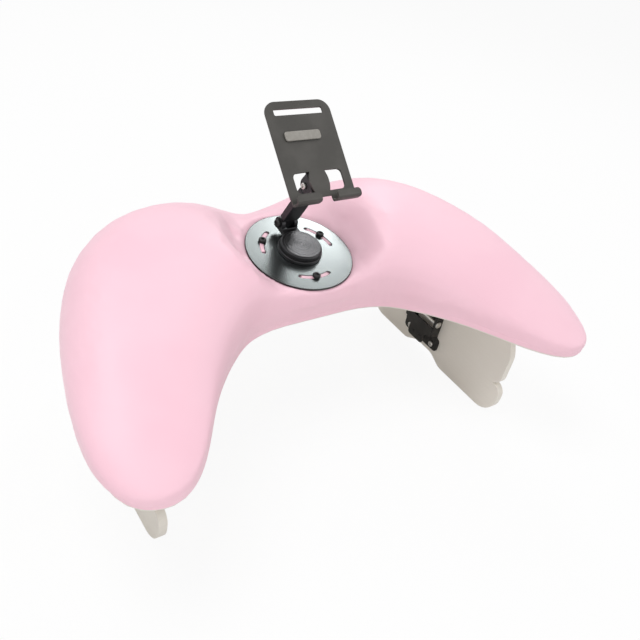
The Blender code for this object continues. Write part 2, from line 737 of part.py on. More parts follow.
def hook_path():
    """Side view of a hook: down from the plate's foot, forward and up to the lip, as (forward, height)."""
    reach = HOOK_DEPTH + (PLATE_THICKNESS + HOOK_SHEET) / 2
    corners = [(0, HOOK_DROP + HOOK_ROOT), (0, 0), (reach, 0), (reach, HOOK_LIP)]
    path = [corners[0]]
    for i in (1, 2):
        turn = rounded([(*corners[i - 1], 0), (*corners[i], HOOK_BEND), (*corners[i + 1], 0)], 4)
        path += turn[1:-1]
    path.append((reach, HOOK_LIP - HOOK_CORNER))
    for step in range(1, 5):
        path.append((reach, HOOK_LIP - HOOK_CORNER * (1 - step / 4)))
    return path


def make_hook(name, plate_pivot, side):
    """Bent sheet strip with a round-cornered lip, one of the two that carry the phone."""
    middle_face = -PIVOT_BEHIND_FACE + PLATE_THICKNESS / 2
    strip = bmesh.new()
    rows = []
    for forward, height in hook_path():
        below_lip = max(HOOK_CORNER - (HOOK_LIP - height), 0) if forward > HOOK_DEPTH else 0
        inset = HOOK_CORNER - math.sqrt(HOOK_CORNER ** 2 - min(below_lip, HOOK_CORNER * 0.98) ** 2)
        y = middle_face - forward
        z = -PIVOT_ABOVE_EDGE - HOOK_DROP + height
        inner, outer = HOOK_INNER + inset, HOOK_INNER + HOOK_WIDTH - inset
        rows.append([strip.verts.new((side * inner, y, z)), strip.verts.new((side * outer, y, z))])
    for row, following in zip(rows, rows[1:]):
        strip.faces.new((row[0], row[1], following[1], following[0]))
    bmesh.ops.recalc_face_normals(strip, faces=strip.faces)
    mesh = bpy.data.meshes.new(name)
    strip.to_mesh(mesh)
    strip.free()
    hook = add_object(name, mesh, "plate_grey", plate_pivot)
    thicken = hook.modifiers.new("Sheet", "SOLIDIFY")
    thicken.thickness = HOOK_SHEET
    thicken.offset = 0
    thicken.use_even_offset = True
    settle(hook)
    return hook


def make_plate(plate_pivot):
    """Phone plate with its hand slot, windows and two hooks."""
    middle = -PIVOT_BEHIND_FACE + PLATE_THICKNESS / 2
    plate = flat_piece("phone_plate", plate_outlines(), PLATE_THICKNESS, "plate_grey", plate_pivot,
                       (0, middle, 0), "XZ")
    for name, side in (("right_hook", 1), ("left_hook", -1)):
        combine(plate, make_hook(name, plate_pivot, side), "UNION")


def make_ears(plate_pivot):
    """Small fork behind the plate that holds the arm's upper tongue."""
    width = TONGUE_WIDTH + 2 * (GAP + EAR_THICKNESS)
    back = -PIVOT_BEHIND_FACE + PLATE_THICKNESS + GAP
    foot_middle = (0, back + EAR_FOOT_THICKNESS / 2, 0)
    foot_outline = rectangle(0, 0, width / 2 + JOIN_OVERLAP, EAR_FOOT_LENGTH / 2, 2 * JOIN_OVERLAP)
    ears = flat_piece("plate_ears", [foot_outline], EAR_FOOT_THICKNESS, "black_aluminium", plate_pivot,
                      foot_middle, "XZ")
    root = back + EAR_FOOT_THICKNESS / 2
    side = rounded([(root, -EAR_RADIUS * 1.4, 0), (EAR_RADIUS, -EAR_RADIUS, EAR_RADIUS),
                    (EAR_RADIUS, EAR_RADIUS, EAR_RADIUS), (root, EAR_RADIUS * 1.4, 0)])
    for i, sign in enumerate((-1, 1)):
        middle = sign * (TONGUE_WIDTH / 2 + GAP + EAR_THICKNESS / 2)
        ear = flat_piece(f"ear_{i}", [side], EAR_THICKNESS, "black_aluminium", plate_pivot, (middle, 0, 0), "YZ")
        combine(ears, ear, "UNION")
    hole = rod("ear_hole", BOLT_RADIUS + GAP, (-width, 0, 0), 2 * width, plate_pivot, -TO_LEFT)
    combine(ears, hole, "DIFFERENCE")
    return width


def make_grip(plate_pivot):
    """Silicone strip across the plate's face."""
    face = -PIVOT_BEHIND_FACE - GAP
    outline = rectangle(-GRIP_TO_LEFT, GRIP_ABOVE_EDGE - PIVOT_ABOVE_EDGE, GRIP_WIDTH / 2, GRIP_HEIGHT / 2,
                        GRIP_CORNER)
    flat_piece("plate_grip", [outline], GRIP_THICKNESS, "grey_silicone", plate_pivot,
               (0, face - GRIP_THICKNESS / 2, 0), "XZ")


def make_holder(disc_frame):
    """Foot, cap, arm and phone plate on the disc."""
    make_foot(disc_frame)
    swivel = add_empty("swivel_axis", disc_frame, (0, 0, 0))
    fork_width = make_cap(swivel)
    arm_pivot = add_empty("arm_pivot", swivel, (0, LOWER_PIVOT_BACK, LOWER_PIVOT_UP), (ARM_LEAN, 0, 0))
    make_bolt("lower_bolt", LOWER_BOLT_HEAD_RADIUS, LOWER_BOLT_HEAD_HEIGHT, fork_width, "black_screw", swivel,
              (0, LOWER_PIVOT_BACK, LOWER_PIVOT_UP))
    make_arm(arm_pivot)
    lean = (-PLATE_LEAN - ARM_LEAN, 0, 0)
    plate_pivot = add_empty("plate_pivot", arm_pivot, (0, 0, ARM_LENGTH), lean)
    make_plate(plate_pivot)
    ear_width = make_ears(plate_pivot)
    make_bolt("upper_bolt", UPPER_BOLT_HEAD_RADIUS, UPPER_BOLT_HEAD_HEIGHT, ear_width, "bright_screw",
              plate_pivot, (0, 0, 0))
    make_grip(plate_pivot)


def board_underside():
    """Height of the face that the panels and brackets hang from."""
    return BOARD_TOP - BOARD_THICKNESS


def hinge_place():
    """Axis of the right panel's hinge."""
    return Vector((PANEL_INNER_FACE - PIVOT_OFFSET, BRACKET_Y, board_underside() - PIVOT_OFFSET))


def panel_outline():
    """Side view of a panel: two lobes at each end and a shallow arch underneath."""
    top = board_underside() - GAP
    lobe_low = NOTCH_HEIGHT + NOTCH_SPREAD
    toe_high = NOTCH_HEIGHT - NOTCH_SPREAD
    front_lobe = PANEL_FRONT + LOBE_SETBACK
    back_lobe = PANEL_BACK - LOBE_SETBACK
    return rounded([
        (PANEL_TOP_FRONT, top, 0), (front_lobe, LOBE_TOP, LOBE_TOP_RADIUS), (front_lobe, lobe_low, LOBE_RADIUS),
        (PANEL_FRONT + NOTCH_DEPTH, NOTCH_HEIGHT, 0), (PANEL_FRONT, toe_high, LOBE_RADIUS),
        (PANEL_FRONT, 0, TOE_RADIUS), (ARCH_FRONT, 0, ARCH_RADIUS),
        (ARCH_FRONT + ARCH_SLOPE, ARCH_HEIGHT, ARCH_RADIUS), (ARCH_BACK - ARCH_SLOPE, ARCH_HEIGHT, ARCH_RADIUS),
        (ARCH_BACK, 0, ARCH_RADIUS), (PANEL_BACK, 0, TOE_RADIUS), (PANEL_BACK, toe_high, LOBE_RADIUS),
        (PANEL_BACK - NOTCH_DEPTH, NOTCH_HEIGHT, 0), (back_lobe, lobe_low, LOBE_RADIUS),
        (back_lobe, LOBE_TOP, LOBE_TOP_RADIUS), (PANEL_TOP_BACK, top, 0),
    ], 7)


def leaf_screw_spots():
    """Places (y, z) of the four screws that hold a leaf on its panel, from the hinge."""
    spots = []
    for spread, height in ((LEAF_SCREW_SPREAD, LEAF_SCREW_HEIGHT), (UPPER_SCREW_SPREAD, UPPER_SCREW_HEIGHT)):
        spots += [(side * spread, height - hinge_place().z) for side in (-1, 1)]
    return spots


def board_screw_spots():
    """Places (x, y) of the four screws that hold a leaf under the board, from the hinge."""
    rows = (-BOARD_SCREW_NEAR, -BOARD_SCREW_FAR)
    return [(x, side * BOARD_SCREW_SPREAD) for x in rows for side in (-1, 1)]


def make_panel(hinge):
    """Wooden side panel with pilot holes for its leaf."""
    origin = hinge_place()
    outline = [(y - origin.y, z - origin.z) for y, z in panel_outline()]
    middle = (PIVOT_OFFSET + PANEL_THICKNESS / 2, 0, 0)
    panel = flat_piece("leg_panel_right", [outline], PANEL_THICKNESS, "cream_board", hinge, middle, "YZ")
    for i, (y, z) in enumerate(leaf_screw_spots()):
        depth = LEAF_SCREW_LENGTH - SHEET + GAP
        start = (PIVOT_OFFSET - CUT_OVERSHOOT, y, z)
        hole = rod(f"panel_pilot_{i}", WOOD_SCREW_SHANK_RADIUS + GAP, start, depth + CUT_OVERSHOOT, hinge,
                   -TO_LEFT)
        combine(panel, hole, "DIFFERENCE")
    return panel


def make_leg_leaf(hinge):
    """Sheet leaf on the panel: a base with ears and a window, and two cheeks round the pivot."""
    origin = hinge_place()
    inner = LEAF_HALF_WIDTH - JOIN_OVERLAP / 2
    top = LEAF_ABOVE_PIVOT
    waist = LEAF_WAIST - origin.z
    low = LEAF_EAR_BOTTOM - origin.z
    corner = LEAF_EAR_CORNER
    ear_top = waist - LEAF_EAR_SLOPE
    base = rounded([(-inner, top, corner), (-inner, waist, 0), (-LEAF_EAR_HALF_WIDTH, ear_top, corner),
                    (-LEAF_EAR_HALF_WIDTH, low, corner), (LEAF_EAR_HALF_WIDTH, low, corner),
                    (LEAF_EAR_HALF_WIDTH, ear_top, corner), (inner, waist, 0), (inner, top, corner)], 3)
    window_middle = LEAF_WINDOW_BOTTOM + LEAF_WINDOW_HEIGHT / 2 - origin.z
    window = rectangle(0, window_middle, LEAF_WINDOW_HALF_WIDTH, LEAF_WINDOW_HEIGHT / 2, LEAF_WINDOW_CORNER)
    holes = [circle(y, z, WOOD_SCREW_SHANK_RADIUS + GAP) for y, z in leaf_screw_spots()]
    face = PIVOT_OFFSET - GAP
    leaf = flat_piece("leg_leaf_right", [base, window] + holes, SHEET, "black_steel", hinge,
                      (face - SHEET / 2, 0, 0), "YZ")
    root = face - SHEET / 2
    front = face - CHEEK_DEPTH
    bottom = CHEEK_BOTTOM - origin.z
    cheek = rounded([(root, bottom, 0), (front, bottom, CHEEK_CORNER), (front, -2 * KNUCKLE_RADIUS, CHEEK_CORNER),
                     (-KNUCKLE_RADIUS, -KNUCKLE_RADIUS * 0.5, KNUCKLE_RADIUS * 0.6),
                     (-KNUCKLE_RADIUS, KNUCKLE_RADIUS, KNUCKLE_RADIUS), (KNUCKLE_RADIUS * 0.5, KNUCKLE_RADIUS, 0),
                     (root, LEAF_ABOVE_PIVOT - corner, 0)])
    hole = circle(0, 0, PIVOT_PIN_RADIUS + GAP)
    lever_hole = circle(PIVOT_OFFSET - LEVER_PIN_OFFSET, LEVER_PIN_HEIGHT - origin.z, LEVER_PIN_RADIUS + GAP)
    for i, sign in enumerate((-1, 1)):
        middle = sign * (LEAF_HALF_WIDTH - SHEET / 2)
        side = flat_piece(f"leg_cheek_{i}", [cheek, hole, lever_hole], SHEET, "black_steel", hinge,
                          (0, middle, 0), "XZ")
        combine(leaf, side, "UNION")
    return leaf


def board_leaf_half_width():
    """Outer faces of the board leaf's cheeks, which run inside the leg leaf's."""
    return LEAF_HALF_WIDTH - SHEET - GAP


def make_board_leaf(rest):
    """Sheet leaf under the board with two cheeks that hang down round the pivot."""
    origin = hinge_place()
    face = PIVOT_OFFSET - GAP
    near = PIVOT_OFFSET - BOARD_LEAF_SETBACK
    middle_x = (near - BOARD_LEAF_REACH) / 2
    base = rectangle(middle_x, 0, (near + BOARD_LEAF_REACH) / 2, BOARD_LEAF_HALF_WIDTH, BOARD_LEAF_CORNER)
    holes = [circle(x, y, WOOD_SCREW_SHANK_RADIUS + GAP) for x, y in board_screw_spots()]
    place = Vector((origin.x, origin.y, origin.z))
    leaf = flat_piece("board_leaf_right", [base] + holes, SHEET, "black_steel", rest,
                      place + UP * (face - SHEET / 2))
    root = face - SHEET / 2
    cheek = rounded([(-KNUCKLE_RADIUS, root, 0), (-KNUCKLE_RADIUS, -KNUCKLE_RADIUS, KNUCKLE_RADIUS),
                     (KNUCKLE_RADIUS, -KNUCKLE_RADIUS, KNUCKLE_RADIUS), (KNUCKLE_RADIUS, root, 0)])
    hole = circle(0, 0, PIVOT_PIN_RADIUS + GAP)
    for i, sign in enumerate((-1, 1)):
        middle = sign * (board_leaf_half_width() - SHEET / 2)
        side = flat_piece(f"board_cheek_{i}", [cheek, hole], SHEET, "black_steel", rest,
                          place + Vector((0, middle, 0)), "XZ")
        combine(leaf, side, "UNION")
    return leaf


def make_board_pilots(board, rest):
    """Pilot holes in the board's underside for both brackets."""
    origin = hinge_place()
    depth = BOARD_SCREW_LENGTH - SHEET + GAP
    for side in (-1, 1):
        for i, (x, y) in enumerate(board_screw_spots()):
            start = (side * (origin.x + x), origin.y + y, board_underside() - CUT_OVERSHOOT)
            name = f"board_pilot_{'left' if side < 0 else 'right'}_{i}"
            hole = rod(name, WOOD_SCREW_SHANK_RADIUS + GAP, start, depth + CUT_OVERSHOOT, rest)
            combine(board, hole, "DIFFERENCE")


def make_pin(name, radius, head_radius, half_length, slot, parent, location):
    """Pin along Y with a flat head on its front end, flush at the back."""
    edge = PIN_HEAD_HEIGHT * 0.3
    profile = [(0, PIN_HEAD_HEIGHT), (head_radius - edge, PIN_HEAD_HEIGHT), (head_radius, PIN_HEAD_HEIGHT - edge),
               (head_radius, 0), (radius, 0), (radius, -2 * half_length), (0, -2 * half_length)]
    place = Vector(location) + Vector((0, -half_length - GAP, 0))
    return turned(name, profile, slot, parent, place, TO_FRONT)


def make_lever(lever_axis):
    """Sheet channel that locks the leaf: a web with a tongue to press and two arms up to the knuckle."""
    pin = Vector((PANEL_INNER_FACE - LEVER_PIN_OFFSET, 0, LEVER_PIN_HEIGHT))
    half = board_leaf_half_width()
    web_face = PANEL_INNER_FACE - LEVER_WEB_OFFSET
    web_half = half - JOIN_OVERLAP / 2
    tongue, corner = LEVER_TONGUE_HALF_WIDTH, LEVER_TONGUE_CORNER
    low, step, top = LEVER_BOTTOM - pin.z, LEVER_TONGUE_TOP - pin.z, LEVER_WEB_TOP - pin.z
    shoulder = step + LEVER_SHOULDER_SLOPE
    web = rounded([(-tongue, low, corner), (tongue, low, corner), (tongue, step, corner / 2),
                   (web_half, shoulder, corner), (web_half, top, 0), (-web_half, top, 0),
                   (-web_half, shoulder, corner), (-tongue, step, corner / 2)], 3)
    middle = (web_face - LEVER_SHEET / 2 - pin.x, 0, 0)
    lever = flat_piece("lock_lever_right", [web], LEVER_SHEET, "black_steel", lever_axis, middle, "YZ")
    front = web_face - LEVER_SHEET / 2 - pin.x
    back = PANEL_INNER_FACE - LEVER_ARM_DEPTH - pin.x
    arm_top = hinge_place().z - KNUCKLE_RADIUS - LEVER_CLEAR_OF_KNUCKLE - pin.z
    swell = LEVER_PIN_RADIUS + 2 * LEVER_SHEET
    arm = rounded([(front, step + JOIN_OVERLAP, 0), (back, step + JOIN_OVERLAP, LEVER_ARM_CORNER),
                   (back, -swell, LEVER_ARM_CORNER), (swell, -swell / 2, LEVER_ARM_CORNER),
                   (swell, swell / 2, LEVER_ARM_CORNER), (back, swell, LEVER_ARM_CORNER),
                   (back, arm_top, LEVER_ARM_CORNER), (front, arm_top, LEVER_ARM_CORNER)], 3)
    hole = circle(0, 0, LEVER_PIN_RADIUS + GAP)
    for i, sign in enumerate((-1, 1)):
        place = (0, sign * (half - LEVER_SHEET / 2), 0)
        side = flat_piece(f"lever_arm_{i}", [arm, hole], LEVER_SHEET, "black_steel", lever_axis, place, "XZ")
        combine(lever, side, "UNION")
    for i, sign in enumerate((-1, 1)):
        spot = (front + LEVER_SHEET / 4, sign * LEVER_RIVET_SPREAD, LEVER_RIVET_Z - pin.z)
        length = LEVER_SHEET * 0.75 + LEVER_RIVET_HEIGHT
        rivet = rod(f"lever_rivet_{i}", LEVER_RIVET_RADIUS, spot, length, lever_axis, TO_LEFT)
        combine(lever, rivet, "UNION")
    return lever


def make_leaf_screws(hinge):
    """Screws through the leg leaf into the panel."""
    profile = fastener_profile(WOOD_SCREW_HEAD_RADIUS, WOOD_SCREW_HEAD_HEIGHT, WOOD_SCREW_SHANK_RADIUS,
                               LEAF_SCREW_LENGTH)
    x = PIVOT_OFFSET - SHEET - 2 * GAP
    return [turned(f"leg_screw_right_{i + 1}", profile, "bright_screw", hinge, (x, y, z), TO_LEFT,
                   WOOD_SCREW_STEPS)
            for i, (y, z) in enumerate(leaf_screw_spots())]


def make_board_screws(rest):
    """Screws through the board leaf into the board."""
    profile = fastener_profile(WOOD_SCREW_HEAD_RADIUS, WOOD_SCREW_HEAD_HEIGHT, WOOD_SCREW_SHANK_RADIUS,
                               BOARD_SCREW_LENGTH)
    origin = hinge_place()
    z = board_underside() - SHEET - 2 * GAP
    return [turned(f"board_screw_right_{i + 1}", profile, "bright_screw", rest, (origin.x + x, origin.y + y, z),
                   DOWN, WOOD_SCREW_STEPS)
            for i, (x, y) in enumerate(board_screw_spots())]


def mirror_piece(piece, parent):
    """Left-hand twin of a right-hand piece, from its finished mesh."""
    mesh = evaluated_mesh(piece)
    across = Matrix.Scale(-1, 4, (1, 0, 0))
    to_parent = parent.matrix_world.inverted()
    mesh.transform(to_parent @ across @ piece.matrix_world)
    mesh.flip_normals()
    slot = piece.active_material.name
    return add_object(piece.name.replace("right", "left"), mesh, slot, parent)


def make_legs(rest):
    """Both folding legs: the right one is modelled and the left one is its mirror image."""
    hinge = add_empty("right_leg_hinge", rest, hinge_place())
    lever_offset = Vector((PANEL_INNER_FACE - LEVER_PIN_OFFSET, BRACKET_Y, LEVER_PIN_HEIGHT)) - hinge_place()
    lever_axis = add_empty("right_lever_axis", hinge, lever_offset)
    on_rest = [make_board_leaf(rest)] + make_board_screws(rest)
    on_hinge = [make_panel(hinge), make_leg_leaf(hinge)] + make_leaf_screws(hinge)
    on_hinge.append(make_pin("pivot_pin_right", PIVOT_PIN_RADIUS, PIVOT_PIN_HEAD_RADIUS, LEAF_HALF_WIDTH,
                             "black_steel", hinge, (0, 0, 0)))
    on_hinge.append(make_pin("lever_pin_right", LEVER_PIN_RADIUS, LEVER_PIN_HEAD_RADIUS, LEAF_HALF_WIDTH,
                             "bright_screw", hinge, lever_offset))
    on_lever = [make_lever(lever_axis)]
    left_hinge_place = hinge_place() * Vector((-1, 1, 1))
    left_hinge = add_empty("left_leg_hinge", rest, left_hinge_place)
    left_axis = add_empty("left_lever_axis", left_hinge, lever_offset * Vector((-1, 1, 1)))
    bpy.context.view_layer.update()
    for pieces, parent in ((on_rest, rest), (on_hinge, left_hinge), (on_lever, left_axis)):
        for piece in pieces:
            mirror_piece(piece, parent)


def main():
    """Build the whole rest, centred front to back on its own box."""
    front, back = pad_bounds()
    rest = add_empty("rest", None, (0, -(front + back) / 2, 0))
    disc_place = (0, DISC_BACK, BOARD_TOP + DISC_HEIGHT)
    disc_frame = add_empty("disc_frame", rest, disc_place, (DISC_TILT, 0, 0))
    make_pad(rest, disc_frame)
    board = make_board(rest)
    make_board_pilots(board, rest)
    make_disc(disc_frame)
    make_disc_screws(disc_frame)
    make_holder(disc_frame)
    make_legs(rest)
    bpy.context.view_layer.update()


main()
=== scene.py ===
"""Dressed scene of the manicure hand rest: leather pad, folding wooden legs and phone holder.

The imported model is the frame. The pad's skin is blown up as cloth round its solid, the
fasteners and the turned cap are modelled anew, and every other node keeps its solid with
softened edges and a procedural finish. Lengths are in metres, X to the right, Y to the back.
"""

from __future__ import annotations

import json
import logging
import math
from dataclasses import dataclass, field
from enum import Enum
from typing import Callable, Iterable, Sequence

import bmesh
import bpy
import numpy as np
from mathutils import Matrix, Vector, noise

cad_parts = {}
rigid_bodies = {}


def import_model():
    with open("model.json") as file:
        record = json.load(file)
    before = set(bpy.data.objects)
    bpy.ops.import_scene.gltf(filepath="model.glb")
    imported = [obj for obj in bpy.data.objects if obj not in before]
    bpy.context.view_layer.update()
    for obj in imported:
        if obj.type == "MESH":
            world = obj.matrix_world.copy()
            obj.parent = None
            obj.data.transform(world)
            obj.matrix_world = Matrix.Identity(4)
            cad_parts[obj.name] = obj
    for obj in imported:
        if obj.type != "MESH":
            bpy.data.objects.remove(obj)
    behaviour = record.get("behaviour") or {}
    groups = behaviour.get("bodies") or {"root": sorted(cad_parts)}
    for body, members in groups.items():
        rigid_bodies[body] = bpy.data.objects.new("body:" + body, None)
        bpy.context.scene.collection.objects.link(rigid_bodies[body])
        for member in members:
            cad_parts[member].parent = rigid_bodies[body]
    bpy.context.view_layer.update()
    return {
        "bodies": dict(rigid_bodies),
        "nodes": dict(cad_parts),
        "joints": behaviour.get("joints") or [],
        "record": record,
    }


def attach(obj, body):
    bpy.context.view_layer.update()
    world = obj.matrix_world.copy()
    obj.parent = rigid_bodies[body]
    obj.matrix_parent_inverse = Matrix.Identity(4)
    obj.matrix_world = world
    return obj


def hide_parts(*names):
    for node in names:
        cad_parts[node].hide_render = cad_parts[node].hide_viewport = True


LOG = logging.getLogger("hand_rest")
MERGE = 0.00002
SMOOTH_ANGLE = math.radians(32)
Colour = tuple[float, float, float]
Pair = tuple[float, float]


class Side(Enum):
    """Left and right of the rest."""

    RIGHT = 1
    LEFT = -1

    @property
    def word(self) -> str:
        """Lower-case word that ends a node's name."""
        return self.name.lower()


class Drive(Enum):
    """Recess in a screw's head."""

    HEX = "hex"
    CROSS = "cross"


# ---- shader tools


class Field:
    """A number that varies over a surface, with Python's operators."""

    def __init__(self, desk: "ShaderDesk", socket: bpy.types.NodeSocket) -> None:
        """Wrap a socket.

        Args:
            desk: the desk whose node tree the socket is in.
            socket: an output socket that carries a number.
        """
        self.desk = desk
        self.socket = socket

    def _math(self, operation: str, *values: "Field | float") -> "Field":
        """Add a Math node.

        Args:
            operation: the node's operation.
            values: what goes into its sockets, in order.

        Returns:
            The node's result.
        """
        inputs = {i: value for i, value in enumerate(values)}
        made = self.desk.node("ShaderNodeMath", {"operation": operation}, inputs)
        return Field(self.desk, made.outputs[0])

    def __add__(self, other: "Field | float") -> "Field":
        """Sum."""
        return self._math("ADD", self, other)

    def __radd__(self, other: float) -> "Field":
        """Sum with a number on the left."""
        return self._math("ADD", other, self)

    def __sub__(self, other: "Field | float") -> "Field":
        """Difference."""
        return self._math("SUBTRACT", self, other)

    def __rsub__(self, other: float) -> "Field":
        """Difference from a number on the left."""
        return self._math("SUBTRACT", other, self)

    def __mul__(self, other: "Field | float") -> "Field":
        """Product."""
        return self._math("MULTIPLY", self, other)

    def sine(self) -> "Field":
        """Sine of the value in radians."""
        return self._math("SINE", self)

    def root(self) -> "Field":
        """Square root."""
        return self._math("SQRT", self)

    def step(self, low: float, high: float) -> "Field":
        """Smooth step.

        Args:
            low: value that gives 0.
            high: value that gives 1.

        Returns:
            The eased share between them.
        """
        settings = {"interpolation_type": "SMOOTHSTEP"}
        made = self.desk.node("ShaderNodeMapRange", settings, {0: self, 1: low, 2: high})
        return Field(self.desk, made.outputs[0])


class ShaderDesk:
    """A material under construction, with one Principled shader."""

    def __init__(self, name: str, **constants: float | Colour) -> None:
        """Start a material.

        Args:
            name: the material's name.
            constants: values of the Principled shader's own sockets, with _ for each space.
        """
        self.material = bpy.data.materials.new(name)
        self.material.use_nodes = True
        self.tree = self.material.node_tree
        self.shader = self.tree.nodes["Principled BSDF"]
        for key, value in constants.items():
            socket = self.shader.inputs[key.replace("_", " ")]
            socket.default_value = (*value, 1.0) if isinstance(value, tuple) else value
        self._place: bpy.types.NodeSocket | None = None

    def node(self, kind: str, settings: dict[str, object],
             inputs: dict[int | str, object]) -> bpy.types.Node:
        """Add a node.

        Args:
            kind: the node's type.
            settings: its properties, set before its sockets.
            inputs: value or link for each socket, by index or name.

        Returns:
            The new node.
        """
        made = self.tree.nodes.new(kind)
        for key, value in settings.items():
            setattr(made, key, value)
        for key, value in inputs.items():
            if isinstance(value, Field):
                value = value.socket
            if isinstance(value, bpy.types.NodeSocket):
                self.tree.links.new(value, made.inputs[key])
            else:
                made.inputs[key].default_value = value
        return made

    def place(self) -> bpy.types.NodeSocket:
        """Object coordinates, which are the rest's own metres."""
        if self._place is None:
            self._place = self.node("ShaderNodeTexCoord", {}, {}).outputs["Object"]
        return self._place

    def framed(self, centre: Sequence[float], tilt: float) -> bpy.types.NodeSocket:
        """Coordinates in a frame that is moved and tilted about X.

        Args:
            centre: the frame's origin.
            tilt: its turn about X.

        Returns:
            A vector socket.
        """
        settings = {"vector_type": "TEXTURE"}
        inputs = {"Vector": self.place(), "Location": tuple(centre), "Rotation": (tilt, 0.0, 0.0)}
        return self.node("ShaderNodeMapping", settings, inputs).outputs[0]

    def stretched(self, scale: Sequence[float]) -> bpy.types.NodeSocket:
        """Object coordinates scaled along each axis."""
        return self.node("ShaderNodeMapping", {}, {"Vector": self.place(), "Scale": tuple(scale)}).outputs[0]

    def axes(self, vector: bpy.types.NodeSocket) -> tuple[Field, Field, Field]:
        """The three numbers of a vector."""
        parts = self.node("ShaderNodeSeparateXYZ", {}, {0: vector}).outputs
        return Field(self, parts[0]), Field(self, parts[1]), Field(self, parts[2])

    def noise(self, scale: float, detail: float = 3.0, vector: bpy.types.NodeSocket | None = None) -> Field:
        """Soft noise.

        Args:
            scale: features per metre.
            detail: octaves.
            vector: where it is read, or none for object coordinates.

        Returns:
            A number around one half.
        """
        inputs = {"Vector": vector or self.place(), "Scale": scale, "Detail": detail}
        return Field(self, self.node("ShaderNodeTexNoise", {}, inputs).outputs[0])

    def cells(self, scale: float) -> Field:
        """Distance from the cracks between cells of a scale per metre."""
        inputs = {"Vector": self.place(), "Scale": scale}
        made = self.node("ShaderNodeTexVoronoi", {"feature": "DISTANCE_TO_EDGE"}, inputs)
        return Field(self, made.outputs["Distance"])

    def paint(self, low: Colour, high: Colour, share: Field) -> None:
        """Base colour between two colours."""
        inputs = {0: share, 6: (*low, 1.0), 7: (*high, 1.0)}
        made = self.node("ShaderNodeMix", {"data_type": "RGBA"}, inputs)
        self.tree.links.new(made.outputs[2], self.shader.inputs["Base Color"])

    def roughen(self, value: Field) -> None:
        """Roughness that varies."""
        self.tree.links.new(value.socket, self.shader.inputs["Roughness"])

    def relief(self, height: Field, strength: float, distance: float) -> None:
        """Bump from a height.

        Args:
            height: the height, in steps of one.
            strength: share of the effect.
            distance: metres for a height of one.
        """
        inputs = {"Strength": strength, "Distance": distance, "Height": height}
        made = self.node("ShaderNodeBump", {}, inputs)
        self.tree.links.new(made.outputs[0], self.shader.inputs["Normal"])


# ---- finishes


@dataclass(frozen=True)
class Leather:
    """Smooth, taut, pale pink synthetic leather with a fine grain."""

    colour: Colour = (0.930, 0.600, 0.690)
    shade: Colour = (0.915, 0.575, 0.667)
    grain: float = 1500.0

    def make(self) -> bpy.types.Material:
        """Build the material."""
        desk = ShaderDesk("pink_leather", Base_Color=self.colour, Roughness=0.46, Specular_IOR_Level=0.42,
                          Sheen_Weight=0.12, Sheen_Roughness=0.45, Coat_Weight=0.06, Coat_Roughness=0.35)
        cloud = desk.noise(14.0, 2.0)
        desk.paint(self.shade, self.colour, cloud.step(0.25, 0.62))
        pores = desk.cells(self.grain).step(0.0, 0.16)
        pebble = desk.noise(self.grain * 0.45, 4.0)
        desk.roughen(0.40 + cloud * 0.07 + (1 - pores) * 0.10)
        desk.relief(pores * 0.6 + pebble * 0.5, 0.22, 0.00016)
        return desk.material


@dataclass(frozen=True)
class Laminate:
    """Matt cream laminate on thin board."""

    colour: Colour = (0.790, 0.745, 0.680)
    streak: Colour = (0.745, 0.695, 0.625)

    def make(self) -> bpy.types.Material:
        """Build the material."""
        desk = ShaderDesk("cream_board", Roughness=0.55, Specular_IOR_Level=0.35)
        fibre = desk.noise(1.0, 5.0, desk.stretched((260.0, 28.0, 900.0)))
        cloud = desk.noise(9.0, 2.0)
        desk.paint(self.streak, self.colour, (fibre * 0.45 + cloud * 0.75).step(0.30, 0.80))
        desk.roughen(0.48 + fibre * 0.16)
        desk.relief(fibre, 0.25, 0.00012)
        return desk.material


@dataclass(frozen=True)
class Coating:
    """Coated or plated metal with a faint orange peel and small changes of gloss."""

    name: str
    colour: Colour
    worn: Colour
    roughness: Pair
    metallic: float
    peel: float = 900.0
    depth: float = 0.00005

    def make(self) -> bpy.types.Material:
        """Build the material."""
        desk = ShaderDesk(self.name, Metallic=self.metallic)
        cloud = desk.noise(45.0, 3.0)
        fine = desk.noise(self.peel, 2.0)
        low, high = self.roughness
        desk.paint(self.colour, self.worn, cloud.step(0.38, 0.78))
        desk.roughen(low + (cloud * 0.6 + fine * 0.4) * (high - low))
        desk.relief(fine, 0.30, self.depth)
        return desk.material


@dataclass(frozen=True)
class TurnedMetal:
    """Metal with fine rings round a tilted axis, as a lathe or a polishing wheel leaves them."""

    name: str
    colour: Colour
    darker: Colour
    roughness: Pair
    ring: float
    depth: float
    centre: tuple[float, float, float]
    tilt: float
    # radii past which the colour turns to painted shade at the outer edge
    rim: Pair = (1.0, 2.0)

    def make(self) -> bpy.types.Material:
        """Build the material."""
        desk = ShaderDesk(self.name, Metallic=1.0)
        x, y, _ = desk.axes(desk.framed(self.centre, self.tilt))
        radius = (x * x + y * y).root()
        rings = (radius * (2 * math.pi / self.ring)).sine() * 0.5 + 0.5
        streaks = desk.node("ShaderNodeTexNoise", {"noise_dimensions": "1D"},
                            {"W": radius, "Scale": 1400.0, "Detail": 4.0})
        wander = Field(desk, streaks.outputs[0])
        cloud = desk.noise(22.0, 2.0)
        # Past the rim radii the colour is the darker one alone: painted shade on the outer edge. Inside it, the
        # darker colour comes in random clouds.
        face = 1 - radius.step(*self.rim)
        desk.paint(self.darker, self.colour, (wander * 0.5 + cloud * 0.6).step(0.10, 0.55) * face)
        low, high = self.roughness
        desk.roughen(low + wander * (high - low) + (1 - face) * 0.15)
        desk.relief(rings * 0.6 + wander * 0.8, 0.5, self.depth)
        return desk.material


